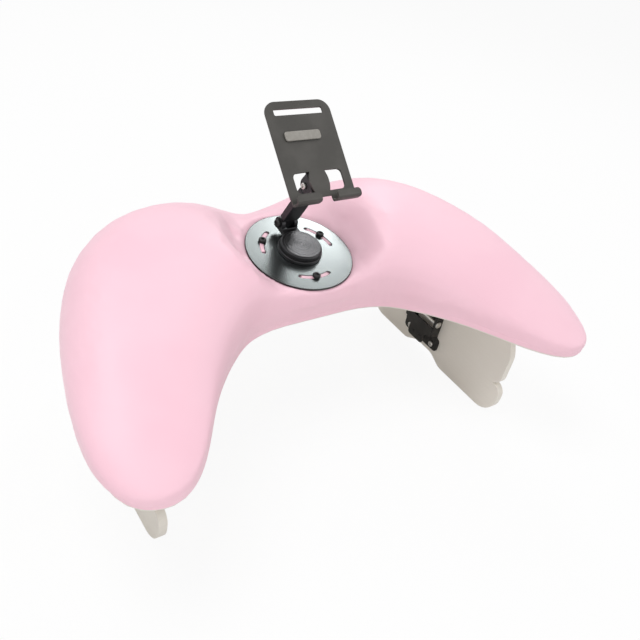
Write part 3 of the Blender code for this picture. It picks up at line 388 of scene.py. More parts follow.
@dataclass(frozen=True)
class Silicone:
    """Matt grey silicone with fine ribs across the strip."""

    colour: Colour = (0.290, 0.275, 0.250)
    dusty: Colour = (0.330, 0.315, 0.290)
    rib: float = 0.0016

    def make(self) -> bpy.types.Material:
        """Build the material."""
        desk = ShaderDesk("grey_silicone", Specular_IOR_Level=0.30)
        x, _, _ = desk.axes(desk.place())
        ribs = (x * (2 * math.pi / self.rib)).sine() * 0.5 + 0.5
        dust = desk.noise(300.0, 3.0)
        desk.paint(self.colour, self.dusty, dust.step(0.35, 0.75))
        desk.roughen(0.66 + dust * 0.18)
        desk.relief(ribs * 0.5 + dust * 0.3, 0.30, 0.00010)
        return desk.material


# ---- modelling tools


def deselect() -> None:
    """Leave object mode if needed and select nothing."""
    if bpy.context.object and bpy.context.object.mode != "OBJECT":
        bpy.ops.object.mode_set(mode="OBJECT")
    bpy.ops.object.select_all(action="DESELECT")


def activate(piece: bpy.types.Object) -> None:
    """Select one piece alone and make it active."""
    deselect()
    piece.select_set(True)
    bpy.context.view_layer.objects.active = piece


def select_faces(piece: bpy.types.Object, wanted: Callable[[bmesh.types.BMFace], bool]) -> None:
    """Go to edit mode with only some faces selected.

    Args:
        piece: the piece being shaped.
        wanted: says which faces are chosen.
    """
    activate(piece)
    bpy.ops.object.mode_set(mode="EDIT")
    bpy.ops.mesh.select_mode(type="FACE")
    shape = bmesh.from_edit_mesh(piece.data)
    for face in shape.faces:
        face.select_set(bool(wanted(face)))
    shape.select_flush_mode()
    bmesh.update_edit_mesh(piece.data)


def select_edges(piece: bpy.types.Object, wanted: Callable[[bmesh.types.BMEdge], bool]) -> None:
    """Go to edit mode with only some edges selected.

    Args:
        piece: the piece being shaped.
        wanted: says which edges are chosen.
    """
    activate(piece)
    bpy.ops.object.mode_set(mode="EDIT")
    bpy.ops.mesh.select_mode(type="EDGE")
    shape = bmesh.from_edit_mesh(piece.data)
    for edge in shape.edges:
        edge.select_set(bool(wanted(edge)))
    shape.select_flush_mode()
    bmesh.update_edit_mesh(piece.data)


def object_mode() -> None:
    """Go back to object mode."""
    bpy.ops.object.mode_set(mode="OBJECT")


def place_mesh(piece: bpy.types.Object, where: Matrix) -> None:
    """Move a piece's mesh, while its object stays at the origin."""
    piece.data.transform(piece.matrix_world)
    piece.matrix_world = Matrix.Identity(4)
    piece.data.transform(where)


def smooth(piece: bpy.types.Object, angle: float = SMOOTH_ANGLE) -> None:
    """Shade smooth, sharp over an angle."""
    activate(piece)
    bpy.ops.object.shade_smooth_by_angle(angle=angle)


def dress(piece: bpy.types.Object, material: bpy.types.Material) -> None:
    """Give every face of a piece one material."""
    if not piece.material_slots:
        piece.data.materials.append(material)
    for entry in piece.material_slots:
        entry.material = material


def copy_of(piece: bpy.types.Object, name: str) -> bpy.types.Object:
    """A piece's twin with a mesh of its own."""
    twin = bpy.data.objects.new(name, piece.data.copy())
    bpy.context.scene.collection.objects.link(twin)
    return twin


def soften(node: bpy.types.Object, width: float, segments: int = 2) -> None:
    """Break a CAD node's sharp edges with live modifiers.

    Args:
        node: the CAD node, whose own mesh stays as it is.
        width: the bevel's width.
        segments: the bevel's steps.
    """
    weld = node.modifiers.new("Join", "WELD")
    weld.merge_threshold = MERGE
    flat = node.modifiers.new("Flatten", "DECIMATE")
    flat.decimate_type = "DISSOLVE"
    flat.angle_limit = math.radians(1.0)
    edge = node.modifiers.new("Edges", "BEVEL")
    edge.width = width
    edge.segments = segments
    edge.limit_method = "ANGLE"
    edge.angle_limit = math.radians(40)
    edge.use_clamp_overlap = True
    edge.harden_normals = False


# ---- sub-assemblies


@dataclass
class DiscPlane:
    """The tilted plane that the mounting disc lies in."""

    centre: Vector
    tilt: float

    @classmethod
    def from_frame(cls, frame: dict) -> "DiscPlane":
        """Read the plane off the swivel joint.


        Returns:
            The plane.
        """
        joint = next(entry for entry in frame["joints"] if entry["name"] == "holder_swivel")
        axis = Vector(joint["axis"])
        return cls(Vector(joint["pos_m"]), math.atan2(-axis.y, axis.z))

    def matrix(self) -> Matrix:
        """From the plane's own frame to the rest's."""
        return Matrix.Translation(self.centre) @ Matrix.Rotation(self.tilt, 4, "X")


@dataclass
class Cushion:
    """Stuffed leather pad, blown up as cloth from its solid and pulled down round the disc."""

    plane: DiscPlane
    voxel: float = 0.005
    inset: float = 0.0012
    pressure: float = 4.0
    swell: float = 0.0034
    overhang: float = 0.0014
    wing_fullness: float = 0.0042
    hub: Pair = (0.0, -0.095)
    wing_start: float = 0.035
    wing_length: float = 0.115
    tip: float = 0.165
    tip_length: float = 0.06
    foot_height: float = 0.007
    shoulder_height: float = 0.040
    shoulder_depth: float = 0.035
    crown_height: float = 0.02
    frames: int = 20
    disc_radius: float = 0.0550
    seat: float = 0.0026
    lip_width: float = 0.0060
    puckers: tuple[tuple[float, float, float], ...] = (
        (178.0, 0.0024, 0.030), (203.0, 0.0016, 0.026), (338.0, 0.0014, 0.030), (20.0, 0.0010, 0.026),
        (150.0, 0.0010, 0.026), (-62.0, 0.0008, 0.024), (-118.0, 0.0008, 0.024))

    def build(self, node: bpy.types.Object) -> bpy.types.Object:
        """Make the pad.

        Args:
            node: the pad's CAD node.

        Returns:
            The finished piece.
        """
        pad = copy_of(node, "stuffed_pad")
        activate(pad)
        bpy.ops.object.mode_set(mode="EDIT")
        bpy.ops.mesh.select_all(action="SELECT")
        bpy.ops.mesh.remove_doubles(threshold=MERGE)
        object_mode()
        pad.data.remesh_voxel_size = self.voxel
        bpy.ops.object.voxel_remesh()
        rest = self._coordinates(pad)
        floor = rest[:, 2].min()
        self._blow_up(pad, rest, floor)
        self._fill_out(pad, floor)
        self._seat(pad, floor)
        finer = pad.modifiers.new("Finer", "SUBSURF")
        finer.levels = finer.render_levels = 1
        activate(pad)
        bpy.ops.object.modifier_apply(modifier=finer.name)
        self._seat(pad, floor)
        self._pucker(pad)
        pad.data.shade_smooth()
        return pad

    @staticmethod
    def _coordinates(pad: bpy.types.Object) -> np.ndarray:
        """The mesh's points as an array."""
        points = np.empty(len(pad.data.vertices) * 3)
        pad.data.vertices.foreach_get("co", points)
        return points.reshape(-1, 3)

    @staticmethod
    def _put(pad: bpy.types.Object, points: np.ndarray) -> None:
        """Write points back to the mesh."""
        pad.data.vertices.foreach_set("co", points.ravel())
        pad.data.update()

    def _local(self, points: np.ndarray) -> np.ndarray:
        """Points in the disc's own frame."""
        turn = np.array(self.plane.matrix().to_3x3())
        return (points - np.array(self.plane.centre)) @ turn

    def _blow_up(self, pad: bpy.types.Object, rest: np.ndarray, floor: float) -> None:
        """Swell the pad's skin by air pressure, with its foot and its seat held.

        Args:
            pad: the remeshed pad.
            rest: its points before the swelling.
            floor: height of its underside.
        """
        normals = np.empty(len(rest) * 3)
        pad.data.vertices.foreach_get("normal", normals)
        start = rest - normals.reshape(-1, 3) * self.inset
        local = self._local(rest)
        radius = np.hypot(local[:, 0], local[:, 1])
        foot = np.clip(1 - (rest[:, 2] - floor) / 0.006, 0, 1)
        seat = np.clip((self.disc_radius + 0.020 - radius) / 0.012, 0, 1) * (local[:, 2] > -0.02)
        hold = np.maximum(foot, seat)
        start = rest * hold[:, None] + start * (1 - hold[:, None])
        self._put(pad, start)
        group = pad.vertex_groups.new(name="hold")
        for index in np.nonzero(hold > 0.02)[0]:
            group.add([int(index)], float(hold[index]), "REPLACE")
        cloth = pad.modifiers.new("Skin", "CLOTH")
        setting = cloth.settings
        setting.quality = 5
        setting.mass = 0.30
        setting.tension_stiffness = setting.compression_stiffness = 22
        setting.shear_stiffness = 12
        setting.bending_stiffness = 1.5
        setting.use_pressure = True
        setting.uniform_pressure_force = self.pressure
        setting.vertex_group_mass = group.name
        setting.effector_weights.gravity = 0
        cloth.collision_settings.use_collision = False
        cloth.point_cache.frame_start = 1
        cloth.point_cache.frame_end = self.frames
        for frame_number in range(1, self.frames + 1):
            bpy.context.scene.frame_set(frame_number)
        graph = bpy.context.evaluated_depsgraph_get()
        settled = pad.evaluated_get(graph).data
        points = np.empty(len(settled.vertices) * 3)
        settled.vertices.foreach_get("co", points)
        pad.modifiers.remove(cloth)
        bpy.context.scene.frame_set(1)
        shift = points.reshape(-1, 3) - start
        length = np.linalg.norm(shift, axis=1)
        share = np.minimum(1, self.swell / np.maximum(length, 1e-9))
        LOG.info("pad skin: moved %.1f mm at most, capped at %.1f", length.max() * 1000, self.swell * 1000)
        self._put(pad, start + shift * share[:, None])
        pad.vertex_groups.clear()

    def _fill_out(self, pad: bpy.types.Object, floor: float) -> None:
        """Let the skin overhang the board and fill the outer sides of the wings.

        Args:
            pad: the swollen pad.
            floor: height of its underside.
        """
        points = self._coordinates(pad)
        normals = np.empty(len(points) * 3)
        pad.data.vertices.foreach_get("normal", normals)
        normals = normals.reshape(-1, 3)
        height = points[:, 2] - floor
        level = normals[:, :2].copy()
        side = np.linalg.norm(level, axis=1)
        level /= np.maximum(side, 1e-6)[:, None]
        outwards = points[:, :2] - np.array(self.hub)
        outwards /= np.maximum(np.linalg.norm(outwards, axis=1), 1e-6)[:, None]
        outer = np.clip((level * outwards).sum(axis=1) * 1.5, 0, 1)
        along = np.clip((self.wing_start - points[:, 1]) / self.wing_length, 0, 1)
        before_tip = np.clip((points[:, 1] + self.tip) / self.tip_length, 0.08, 1)
        wing = along * along * (3 - 2 * along) * before_tip
        low = 0.85 + 0.15 * np.clip(height / self.foot_height, 0, 1)
        upper = 1 - np.clip((height - self.shoulder_height) / self.shoulder_depth, 0, 1)
        push = self.overhang + self.wing_fullness * wing * outer * upper
        reach = np.clip(side * 1.4, 0, 1) * low * push
        points[:, :2] += level * reach[:, None]
        rise = self.wing_fullness * 0.65 * wing * np.clip(normals[:, 2], 0, 1) * (0.35 + 0.65 * outer)
        points[:, 2] += rise * np.clip(height / self.crown_height, 0, 1)
        self._put(pad, points)

    def _seat(self, pad: bpy.types.Object, floor: float) -> None:
        """Keep the foot flat and press the skin under the disc, with a round lip at its rim."""
        points = self._coordinates(pad)
        points[:, 2] = np.maximum(points[:, 2], floor)
        local = self._local(points)
        radius = np.hypot(local[:, 0], local[:, 1])
        top = local[:, 2] > -0.02
        way = np.clip((radius - self.disc_radius + 0.0010) / self.lip_width, 0, 1)
        lip = np.sqrt(np.clip(1 - (1 - way) ** 2, 0, 1))
        level = np.where(radius < self.disc_radius + 0.0004, -self.seat, local[:, 2] * lip - self.seat * (1 - lip))
        local[:, 2] = np.where(top & (way < 1), level, local[:, 2])
        turn = np.array(self.plane.matrix().to_3x3())
        self._put(pad, local @ turn.T + np.array(self.plane.centre))

    def _pucker(self, pad: bpy.types.Object) -> None:
        """Soft folds that run out from the disc, and the skin's faint unevenness."""
        points = self._coordinates(pad)
        local = self._local(points)
        radius = np.hypot(local[:, 0], local[:, 1])
        angle = np.arctan2(local[:, 1], local[:, 0])
        out = radius - self.disc_radius - 0.004
        top = local[:, 2] > -0.03
        sink = np.zeros(len(points))
        for degrees, depth, reach in self.puckers:
            off = (angle - math.radians(degrees) + math.pi) % (2 * math.pi) - math.pi
            across = np.abs(off) * radius
            width = 0.0045 + np.maximum(out, 0) * 0.18
            along = np.clip(out / 0.004, 0, 1) * np.clip(1 - out / reach, 0, 1) ** 1.5
            sink += depth * along * (np.exp(-(across / width) ** 2) - 0.35 * np.exp(-(across / width - 1.6) ** 2))
        sink *= top
        normals = np.empty(len(points) * 3)
        pad.data.vertices.foreach_get("normal", normals)
        normals = normals.reshape(-1, 3)
        free = np.clip((points[:, 2] - points[:, 2].min()) / 0.010, 0, 1) * np.clip(out / 0.01, 0, 1)
        uneven = np.array([noise.noise(Vector(point) * 17.0) for point in points]) * 0.0007
        self._put(pad, points + normals * (uneven * free - sink)[:, None])


@dataclass
class Hem:
    """Edge of the cover, drawn down round the board and turned under just above its lower edge."""

    thickness: float = 0.0007
    clearance: float = 0.0003
    drop: float = 0.0024
    rise: float = 0.0030

    def build(self, board: bpy.types.Object) -> bpy.types.Object:
        """Make the hem.

        Args:
            board: the board's CAD node, whose outline the hem follows.

        Returns:
            The finished piece.
        """
        hem = copy_of(board, "cover_hem")
        activate(hem)
        bpy.ops.object.mode_set(mode="EDIT")
        bpy.ops.mesh.select_all(action="SELECT")
        bpy.ops.mesh.remove_doubles(threshold=MERGE)
        object_mode()
        top = max(vertex.co.z for vertex in hem.data.vertices)
        select_faces(hem, lambda f: abs(f.normal.z) > 0.2
                     or max(v.co.z for v in f.verts) < top - 0.00005)
        bpy.ops.mesh.delete(type="FACE")
        bpy.ops.mesh.select_all(action="SELECT")
        bpy.ops.mesh.tris_convert_to_quads()
        bpy.ops.transform.shrink_fatten(value=self.clearance)
        select_edges(hem, lambda e: all(v.co.z > top - 0.00005 for v in e.verts))
        bpy.ops.transform.translate(value=(0, 0, self.rise))
        select_edges(hem, lambda e: all(v.co.z < top - 0.001 for v in e.verts))
        low = min(vertex.co.z for vertex in hem.data.vertices)
        bpy.ops.transform.translate(value=(0, 0, top - self.drop - low))
        object_mode()
        for name, kind, values in (("Thick", "SOLIDIFY", {"thickness": self.thickness, "offset": 1.0}),
                                   ("Round", "BEVEL", {"width": 0.00025, "segments": 2}),
                                   ("Finer", "SUBSURF", {"levels": 1, "render_levels": 1})):
            step = hem.modifiers.new(name, kind)
            for key, value in values.items():
                setattr(step, key, value)
            activate(hem)
            bpy.ops.object.modifier_apply(modifier=step.name)
        hem.data.shade_smooth()
        return hem


@dataclass
class SlotLeather:
    """Leather that shows in the disc's curved slots, pressed up a little between their edges."""

    plane: DiscPlane
    radius: float
    width: float = 0.0040
    half_angle: float = math.radians(23)
    top: float = -0.0003
    bottom: float = -0.0021

    def build(self, name: str, middle: float) -> bpy.types.Object:
        """Spin one strip along its slot.

        Args:
            name: the piece's name.
            middle: angle of the slot's middle.

        Returns:
            The finished piece.
        """
        deselect()
        bpy.ops.mesh.primitive_cube_add(size=1, location=(self.radius, 0, (self.top + self.bottom) / 2),
                                        scale=(self.width, 0.0001, self.top - self.bottom))
        strip = bpy.context.object
        strip.name = name
        place_mesh(strip, Matrix.Identity(4))
        select_faces(strip, lambda f: abs(f.normal.y) < 0.5)
        bpy.ops.mesh.delete(type="FACE")
        select_faces(strip, lambda f: f.calc_center_median().y > 0)
        bpy.ops.mesh.delete(type="FACE")
        bpy.ops.mesh.select_all(action="SELECT")
        bpy.ops.mesh.spin(steps=24, angle=2 * self.half_angle, center=(0, 0, 0), axis=(0, 0, 1))
        bpy.ops.mesh.select_all(action="SELECT")
        bpy.ops.mesh.remove_doubles(threshold=MERGE)
        bpy.ops.mesh.select_all(action="SELECT")
        bpy.ops.mesh.normals_make_consistent(inside=False)
        object_mode()
        place_mesh(strip, self.plane.matrix() @ Matrix.Rotation(middle + self.half_angle, 4, "Z"))
        edge = strip.modifiers.new("Soft", "BEVEL")
        edge.width = 0.0005
        edge.segments = 3
        edge.limit_method = "ANGLE"
        activate(strip)
        bpy.ops.object.modifier_apply(modifier=edge.name)
        smooth(strip, math.radians(60))
        return strip


@dataclass
class Fastener:
    """Machine or wood screw with a domed head and a drive recess."""

    drive: Drive
    head_radius: float
    head_height: float
    shank_radius: float
    length: float
    recess: float = 0.0011
    sides: int = 32
    pattern: bpy.types.Object | None = field(default=None, repr=False)

    def build_pattern(self) -> bpy.types.Object:
        """Model the screw once, upright, seated at height zero.

        Returns:
            The pattern piece.
        """
        deselect()
        bpy.ops.mesh.primitive_cylinder_add(vertices=self.sides, radius=self.head_radius, depth=self.head_height,
                                            location=(0, 0, self.head_height / 2))
        screw = bpy.context.object
        screw.name = f"{self.drive.value}_screw_pattern"
        place_mesh(screw, Matrix.Identity(4))
        top = self.head_height
        select_edges(screw, lambda e: all(v.co.z > top * 0.9 for v in e.verts))
        bpy.ops.mesh.bevel(offset=top * 0.42, segments=4, affect="EDGES")
        object_mode()
        self._recess(screw)
        self._shank(screw)
        smooth(screw)
        self.pattern = screw
        return screw

    def _recess(self, screw: bpy.types.Object) -> None:
        """Sink the drive into the head."""
        deselect()
        depth = 2 * self.recess
        wide = self.head_radius * 0.52
        if self.drive is Drive.HEX:
            bpy.ops.mesh.primitive_cylinder_add(vertices=6, radius=wide, depth=depth,
                                                location=(0, 0, self.head_height))
            tools = [bpy.context.object]
        else:
            tools = []
            for turn in (0, math.pi / 2):
                bpy.ops.mesh.primitive_cube_add(size=1, location=(0, 0, self.head_height), rotation=(0, 0, turn))
                tool = bpy.context.object
                tool.scale = (wide * 2.2, wide * 0.42, depth)
                select_faces(tool, lambda f: f.normal.z < -0.5)
                bpy.ops.transform.resize(value=(0.55, 0.7, 1))
                object_mode()
                tools.append(tool)
        for tool in tools:
            cut = screw.modifiers.new("Drive", "BOOLEAN")
            cut.operation = "DIFFERENCE"
            cut.solver = "EXACT"
            cut.object = tool
            activate(screw)
            bpy.ops.object.modifier_apply(modifier=cut.name)
            bpy.data.objects.remove(tool)

    def _shank(self, screw: bpy.types.Object) -> None:
        """Draw the shank and its point out of the head's underside."""
        select_faces(screw, lambda f: f.normal.z < -0.9 and f.calc_center_median().z < 0.0001)
        bpy.ops.mesh.inset(thickness=self.head_radius - self.shank_radius)
        bpy.ops.mesh.extrude_region_move(TRANSFORM_OT_translate={"value": (0, 0, -self.length * 0.88)})
        bpy.ops.mesh.extrude_region_move(TRANSFORM_OT_translate={"value": (0, 0, -self.length * 0.12)})
        bpy.ops.transform.resize(value=(0.5, 0.5, 1))
        object_mode()

    def fit(self, name: str, node: str, seat: Vector, facing: Vector, twist: float) -> bpy.types.Object:
        """Copy the pattern to a seat.

        Args:
            name: the copy's name.
            node: CAD node that it stands for.
            seat: middle of the head's underside.
            facing: way that the head faces.
            twist: turn about its own axis.

        Returns:
            The copy.
        """
        screw = copy_of(self.pattern, name)
        turn = Vector((0, 0, 1)).rotation_difference(facing).to_matrix().to_4x4()
        place_mesh(screw, Matrix.Translation(seat) @ turn @ Matrix.Rotation(twist, 4, "Z"))
        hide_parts(node)
        return screw

    def discard(self) -> None:
        """Remove the pattern."""
        bpy.data.objects.remove(self.pattern)
        self.pattern = None


@dataclass
class CapFace:
    """Thin turned disc let into the top of the swivelling cap, with a chamfered rim and a centre mark."""

    plane: DiscPlane
    radius: float = 0.0192
    lift: float = 0.0003
    top: float = 0.0
    seat_gap: float = 0.00002
    rim: float = 0.0006
    sink: float = 0.00012
    lands: tuple[float, ...] = (0.0060, 0.0060, 0.0040)
    mark: float = 0.0003
    mark_depth: float = 0.00025

    def build(self) -> bpy.types.Object:
        """Model the face.

        Returns:
            The finished piece.
        """
        deselect()
        bpy.ops.mesh.primitive_cylinder_add(vertices=96, radius=self.radius, depth=self.lift,
                                            location=(0, 0, self.top + self.lift / 2 + self.seat_gap))
        face = bpy.context.object
        face.name = "cap_face"
        place_mesh(face, Matrix.Identity(4))
        high = self.top + self.lift
        select_faces(face, lambda f: f.normal.z > 0.9)
        bpy.ops.mesh.inset(thickness=self.rim)
        bpy.ops.transform.translate(value=(0, 0, -self.sink))
        for land in self.lands:
            bpy.ops.mesh.inset(thickness=land)
        bpy.ops.mesh.inset(thickness=self.mark)
        bpy.ops.transform.translate(value=(0, 0, -self.mark_depth))
        object_mode()
        place_mesh(face, self.plane.matrix())
        smooth(face, math.radians(20))
        LOG.info("cap face stands %.2f mm high in the cap", high * 1000)
        return face


@dataclass
class PhoneHolder:
    """Disc, swivelling foot, arm and phone plate."""

    plane: DiscPlane
    nodes: dict[str, bpy.types.Object]
    edge: float = 0.00028
    slot_radius: float = 0.0380
    first_slot: float = math.radians(25)
    slots: int = 3
    cap_top: float = 0.0087

    def slot_angle(self, index: int) -> float:
        """Angle of the middle of a slot."""
        return self.first_slot + 2 * math.pi * index / self.slots

    def finish_nodes(self, finishes: dict[str, bpy.types.Material]) -> None:
        """Soften and dress the holder's solids.

        Args:
            finishes: materials by name.
        """
        wearing = {"mounting_disc": "polished_disc", "swivel_base": "anodised", "swivel_cap": "anodised",
                   "lower_bolt": "black_screw", "holder_arm": "anodised", "phone_plate": "plate_powder",
                   "plate_ears": "anodised", "upper_bolt": "bright_screw", "plate_grip": "silicone"}
        for name, finish in wearing.items():
            dress(self.nodes[name], finishes[finish])
            soften(self.nodes[name], 0.0006 if name in ("plate_grip", "phone_plate") else self.edge, 3)

    def screws(self, finishes: dict[str, bpy.types.Material]) -> list[bpy.types.Object]:
        """Fit the disc's three screws.

        Args:
            finishes: materials by name.

        Returns:
            The screws.
        """
        kind = Fastener(Drive.HEX, 0.0040, 0.0030, 0.0018, 0.0140)
        kind.build_pattern()
        made = []
        up = self.plane.matrix().to_3x3() @ Vector((0, 0, 1))
        for i in range(self.slots):
            angle = self.slot_angle(i)
            spot = Vector((math.cos(angle), math.sin(angle), 0)) * self.slot_radius + Vector((0, 0, 0.0003))
            seat = self.plane.matrix() @ spot
            screw = kind.fit(f"clamp_screw_{i + 1}", f"disc_screw_{i + 1}", seat, up, 0.5 + i)
            dress(screw, finishes["black_screw"])
            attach(screw, "rest")
            made.append(screw)
        kind.discard()
        return made

    def slot_leathers(self, finishes: dict[str, bpy.types.Material]) -> list[bpy.types.Object]:
        """Show the cover in the disc's slots.

        Args:
            finishes: materials by name.

        Returns:
            The strips.
        """
        made = []
        pattern = SlotLeather(self.plane, self.slot_radius)
        for i in range(self.slots):
            strip = pattern.build(f"slot_leather_{i + 1}", self.slot_angle(i))
            dress(strip, finishes["leather"])
            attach(strip, "rest")
            made.append(strip)
        return made

    def cap_face(self, finishes: dict[str, bpy.types.Material]) -> bpy.types.Object:
        """Fit the turned face on the cap.

        Args:
            finishes: materials by name.

        Returns:
            The face.
        """
        face = CapFace(self.plane, top=self.cap_top).build()
        dress(face, finishes["spun_cap"])
        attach(face, "swivel")
        return face


@dataclass
class FoldingLeg:
    """Wooden panel, its locking bracket and their screws on one side."""

    side: Side
    nodes: dict[str, bpy.types.Object]
    hinge: Vector
    offset: float = 0.0130
    sheet: float = 0.0020
    gap: float = 0.0003
    leaf_spots: tuple[Pair, ...] = ((-0.0200, 0.0225), (0.0200, 0.0225), (-0.0120, 0.0800), (0.0120, 0.0800))
    board_spots: tuple[Pair, ...] = ((-0.0160, -0.0180), (-0.0160, 0.0180), (-0.0280, -0.0180), (-0.0280, 0.0180))

    def finish_nodes(self, finishes: dict[str, bpy.types.Material]) -> None:
        """Soften and dress the leg's solids.

        Args:
            finishes: materials by name.
        """
        word = self.side.word
        for stem, finish, width in (("leg_panel", "laminate", 0.0022), ("leg_leaf", "coated_steel", 0.0003),
                                    ("board_leaf", "coated_steel", 0.0003), ("lock_lever", "coated_steel", 0.0003),
                                    ("pivot_pin", "coated_steel", 0.0003), ("lever_pin", "bright_screw", 0.0003)):
            node = self.nodes[f"{stem}_{word}"]
            dress(node, finishes[finish])
            soften(node, width, 4 if stem == "leg_panel" else 2)

    def screws(self, kind: Fastener, finishes: dict[str, bpy.types.Material]) -> list[bpy.types.Object]:
        """Fit the bracket's eight screws.

        Args:
            kind: the screw, with its pattern built.
            finishes: materials by name.

        Returns:
            The screws.
        """
        made = []
        sign = self.side.value
        word = self.side.word
        for i, (along, height) in enumerate(self.leaf_spots):
            x = self.hinge.x + sign * (self.offset - self.sheet - 2 * self.gap)
            seat = Vector((x, self.hinge.y + along, height))
            made.append((kind.fit(f"panel_screw_{word}_{i + 1}", f"leg_screw_{word}_{i + 1}", seat,
                                  Vector((-sign, 0, 0)), 0.4 + 1.1 * i), f"{word}_leg"))
        for i, (across, along) in enumerate(self.board_spots):
            seat = Vector((self.hinge.x + sign * across, self.hinge.y + along,
                           self.hinge.z + self.offset - self.sheet - 2 * self.gap))
            made.append((kind.fit(f"under_screw_{word}_{i + 1}", f"board_screw_{word}_{i + 1}", seat,
                                  Vector((0, 0, -1)), 0.2 + 0.9 * i), "rest"))
        for screw, body in made:
            dress(screw, finishes["bright_screw"])
            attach(screw, body)
        return [screw for screw, _ in made]


@dataclass
class Studio:
    """Floor, lamps, world and camera."""

    lens: float = 41.695
    elevation: float = math.radians(36.04)
    turn: float = math.radians(41.69)
    roll: float = math.radians(13.23)
    distance: float = 0.86112
    target: tuple[float, float, float] = (0.06996, 0.06714, 0.04552)
    ambient: float = 0.50
    lamps: tuple[tuple[str, tuple[float, float, float], float, float], ...] = (
        ("key", (-0.7, 0.3, 2.1), 1.1, 22.0), ("front", (-0.9, -1.3, 0.35), 0.9, 5.0),
        ("fill", (1.5, -1.0, 1.0), 1.2, 6.0), ("kicker", (0.95, 0.95, 1.10), 0.35, 4.0))

    def build(self) -> None:
        """Make the whole studio."""
        self._camera()
        self._world()
        self._floor()
        for name, place, size, power in self.lamps:
            self._lamp(name, Vector(place), size, power)

    def _camera(self) -> None:
        """Camera at the photograph's place, level and roll."""
        level, turn = self.elevation, self.turn
        ahead = Vector((math.sin(turn) * math.cos(level), math.cos(turn) * math.cos(level),
                        -math.sin(level)))
        right = Vector((math.cos(turn), -math.sin(turn), 0))
        up = right.cross(ahead)
        across = right * math.cos(self.roll) + up * math.sin(self.roll)
        upright = up * math.cos(self.roll) - right * math.sin(self.roll)
        eye = Vector(self.target) - ahead * self.distance
        view = bpy.data.cameras.new("camera")
        view.lens = self.lens
        view.sensor_width = 36.0
        view.clip_start = 0.01
        camera = bpy.data.objects.new("camera", view)
        bpy.context.scene.collection.objects.link(camera)
        columns = (across, upright, -ahead, eye)
        camera.matrix_world = Matrix([[column[row] for column in columns] for row in range(3)] + [[0, 0, 0, 1]])
        bpy.context.scene.camera = camera

    def _world(self) -> None:
        """Even light, and white where the camera, a gloss or a clear piece looks past the object."""
        world = bpy.data.worlds.new("studio")
        world.use_nodes = True
        bpy.context.scene.world = world
        tree = world.node_tree
        tree.nodes.clear()
        rays = tree.nodes.new("ShaderNodeLightPath")
        seen = None
        for name in ("Is Camera Ray", "Is Glossy Ray", "Is Transmission Ray"):
            if seen is None:
                seen = rays.outputs[name]
                continue
            either = tree.nodes.new("ShaderNodeMath")
            either.operation = "MAXIMUM"
            tree.links.new(seen, either.inputs[0])
            tree.links.new(rays.outputs[name], either.inputs[1])
            seen = either.outputs[0]
        dim = tree.nodes.new("ShaderNodeBackground")
        dim.inputs["Strength"].default_value = self.ambient
        white = tree.nodes.new("ShaderNodeBackground")
        for background in (dim, white):
            background.inputs["Color"].default_value = (1, 1, 1, 1)
        mix = tree.nodes.new("ShaderNodeMixShader")
        out = tree.nodes.new("ShaderNodeOutputWorld")
        tree.links.new(seen, mix.inputs[0])
        tree.links.new(dim.outputs[0], mix.inputs[1])
        tree.links.new(white.outputs[0], mix.inputs[2])
        tree.links.new(mix.outputs[0], out.inputs[0])

    def _floor(self) -> None:
        """Plain pale floor that turns nearly white to the camera and keeps the rest's shadow."""
        deselect()
        bpy.ops.mesh.primitive_plane_add(size=40, location=(0, 0, -0.0005))
        floor = bpy.context.object
        floor.name = "floor"
        material = bpy.data.materials.new("floor")
        material.use_nodes = True
        tree = material.node_tree
        shader = tree.nodes["Principled BSDF"]
        shader.inputs["Base Color"].default_value = (0.86, 0.86, 0.86, 1)
        shader.inputs["Roughness"].default_value = 0.9
        shader.inputs["Specular IOR Level"].default_value = 0.0
        glow = tree.nodes.new("ShaderNodeEmission")
        rays = tree.nodes.new("ShaderNodeLightPath")
        share = tree.nodes.new("ShaderNodeMath")
        share.operation = "MULTIPLY"
        share.inputs[1].default_value = 0.91
        mix = tree.nodes.new("ShaderNodeMixShader")
        tree.links.new(rays.outputs["Is Camera Ray"], share.inputs[0])
        tree.links.new(share.outputs[0], mix.inputs[0])
        tree.links.new(shader.outputs[0], mix.inputs[1])
        tree.links.new(glow.outputs[0], mix.inputs[2])
        tree.links.new(mix.outputs[0], tree.nodes["Material Output"].inputs[0])
        dress(floor, material)

    def _lamp(self, name: str, place: Vector, size: float, power: float) -> None:
        """Square area lamp that looks at the rest.

        Args:
            name: the lamp's name.
            place: where it hangs.
            size: its side.
            power: its watts.
        """
        light = bpy.data.lights.new(name, "AREA")
        light.size = size
        light.energy = power
        lamp = bpy.data.objects.new(name, light)
        lamp.location = place
        lamp.rotation_euler = (place - Vector((0, 0, 0.1))).to_track_quat("Z", "Y").to_euler()
        bpy.context.scene.collection.objects.link(lamp)


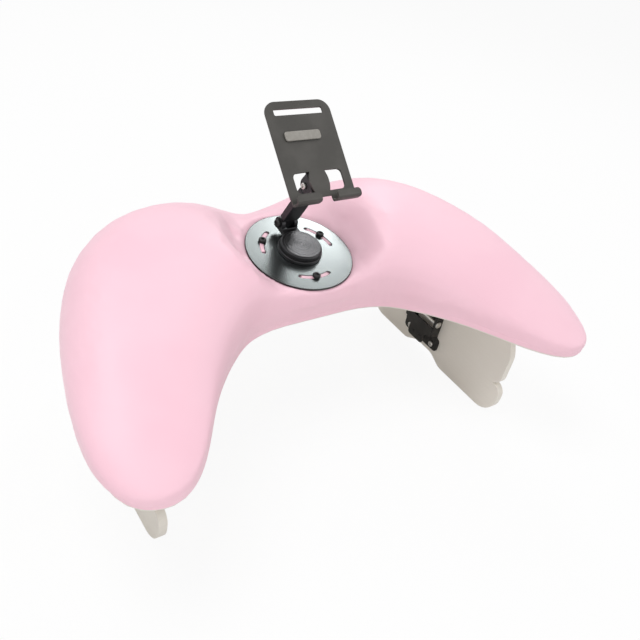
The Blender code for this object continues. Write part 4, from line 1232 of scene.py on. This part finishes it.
@dataclass
class HandRest:
    """The whole rest."""

    frame: dict
    board_edge: float = 0.0008
    finishes: dict[str, bpy.types.Material] = field(default_factory=dict)

    def prepare(self, plane: DiscPlane) -> None:
        """Make every finish.

        Args:
            plane: the disc's plane, round whose axis the turned metals have their rings.
        """
        centre = tuple(plane.centre)
        recipes = {
            "leather": Leather(),
            "laminate": Laminate(),
            "coated_steel": Coating("coated_steel", (0.030, 0.028, 0.026), (0.050, 0.047, 0.043),
                                    (0.34, 0.56), 0.6),
            # The polished disc's last pair of radii puts painted shade on its outer edge.
            "polished_disc": TurnedMetal("polished_disc", (0.210, 0.230, 0.230), (0.060, 0.062, 0.062),
                                         (0.20, 0.30), 0.0011, 0.000006, centre, plane.tilt, (0.0541, 0.0547)),
            "spun_cap": TurnedMetal("spun_cap", (0.085, 0.085, 0.088), (0.040, 0.040, 0.042),
                                    (0.22, 0.32), 0.0006, 0.000130, centre, plane.tilt),
            "anodised": Coating("anodised", (0.030, 0.030, 0.032), (0.045, 0.045, 0.047),
                                (0.28, 0.42), 0.75),
            "plate_powder": Coating("plate_powder", (0.066, 0.063, 0.058), (0.084, 0.080, 0.074),
                                    (0.38, 0.56), 0.5, 1500.0, 0.00006),
            "silicone": Silicone(),
            "bright_screw": Coating("bright_screw", (0.60, 0.58, 0.55), (0.70, 0.68, 0.65),
                                    (0.22, 0.38), 1.0),
            "black_screw": Coating("black_screw", (0.020, 0.020, 0.020), (0.040, 0.040, 0.040),
                                   (0.28, 0.44), 0.7),
        }
        self.finishes = {name: recipe.make() for name, recipe in recipes.items()}

    def build(self) -> Iterable[bpy.types.Object]:
        """Build and dress every sub-assembly.

        Returns:
            The new pieces.
        """
        nodes = self.frame["nodes"]
        plane = DiscPlane.from_frame(self.frame)
        self.prepare(plane)
        made: list[bpy.types.Object] = []
        pad = Cushion(plane).build(nodes["arm_pad"])
        dress(pad, self.finishes["leather"])
        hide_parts("arm_pad")
        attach(pad, "rest")
        made.append(pad)
        hem = Hem().build(nodes["base_board"])
        dress(hem, self.finishes["leather"])
        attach(hem, "rest")
        made.append(hem)
        dress(nodes["base_board"], self.finishes["laminate"])
        soften(nodes["base_board"], self.board_edge, 2)
        holder = PhoneHolder(plane, nodes)
        holder.finish_nodes(self.finishes)
        made += holder.screws(self.finishes)
        made += holder.slot_leathers(self.finishes)
        made.append(holder.cap_face(self.finishes))
        wood_screw = Fastener(Drive.CROSS, 0.0035, 0.0018, 0.0015, 0.0055, 0.0009, 24)
        wood_screw.build_pattern()
        for side in Side:
            joint = next(entry for entry in self.frame["joints"] if entry["name"] == f"leg_fold_{side.word}")
            leg = FoldingLeg(side, nodes, Vector(joint["pos_m"]))
            leg.finish_nodes(self.finishes)
            made += leg.screws(wood_screw, self.finishes)
        wood_screw.discard()
        return made


def main() -> None:
    """Load the frame, build the rest and its studio, and log the face count of each new piece."""
    logging.basicConfig(level=logging.INFO, format="%(name)s: %(message)s")
    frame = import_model()
    bpy.context.scene.view_settings.view_transform = "Standard"
    deselect()
    for piece in HandRest(frame).build():
        LOG.info("piece %s: %d faces", piece.name, len(piece.data.polygons))
    Studio().build()
    bpy.context.view_layer.update()


if __name__ == "__main__":
    main()
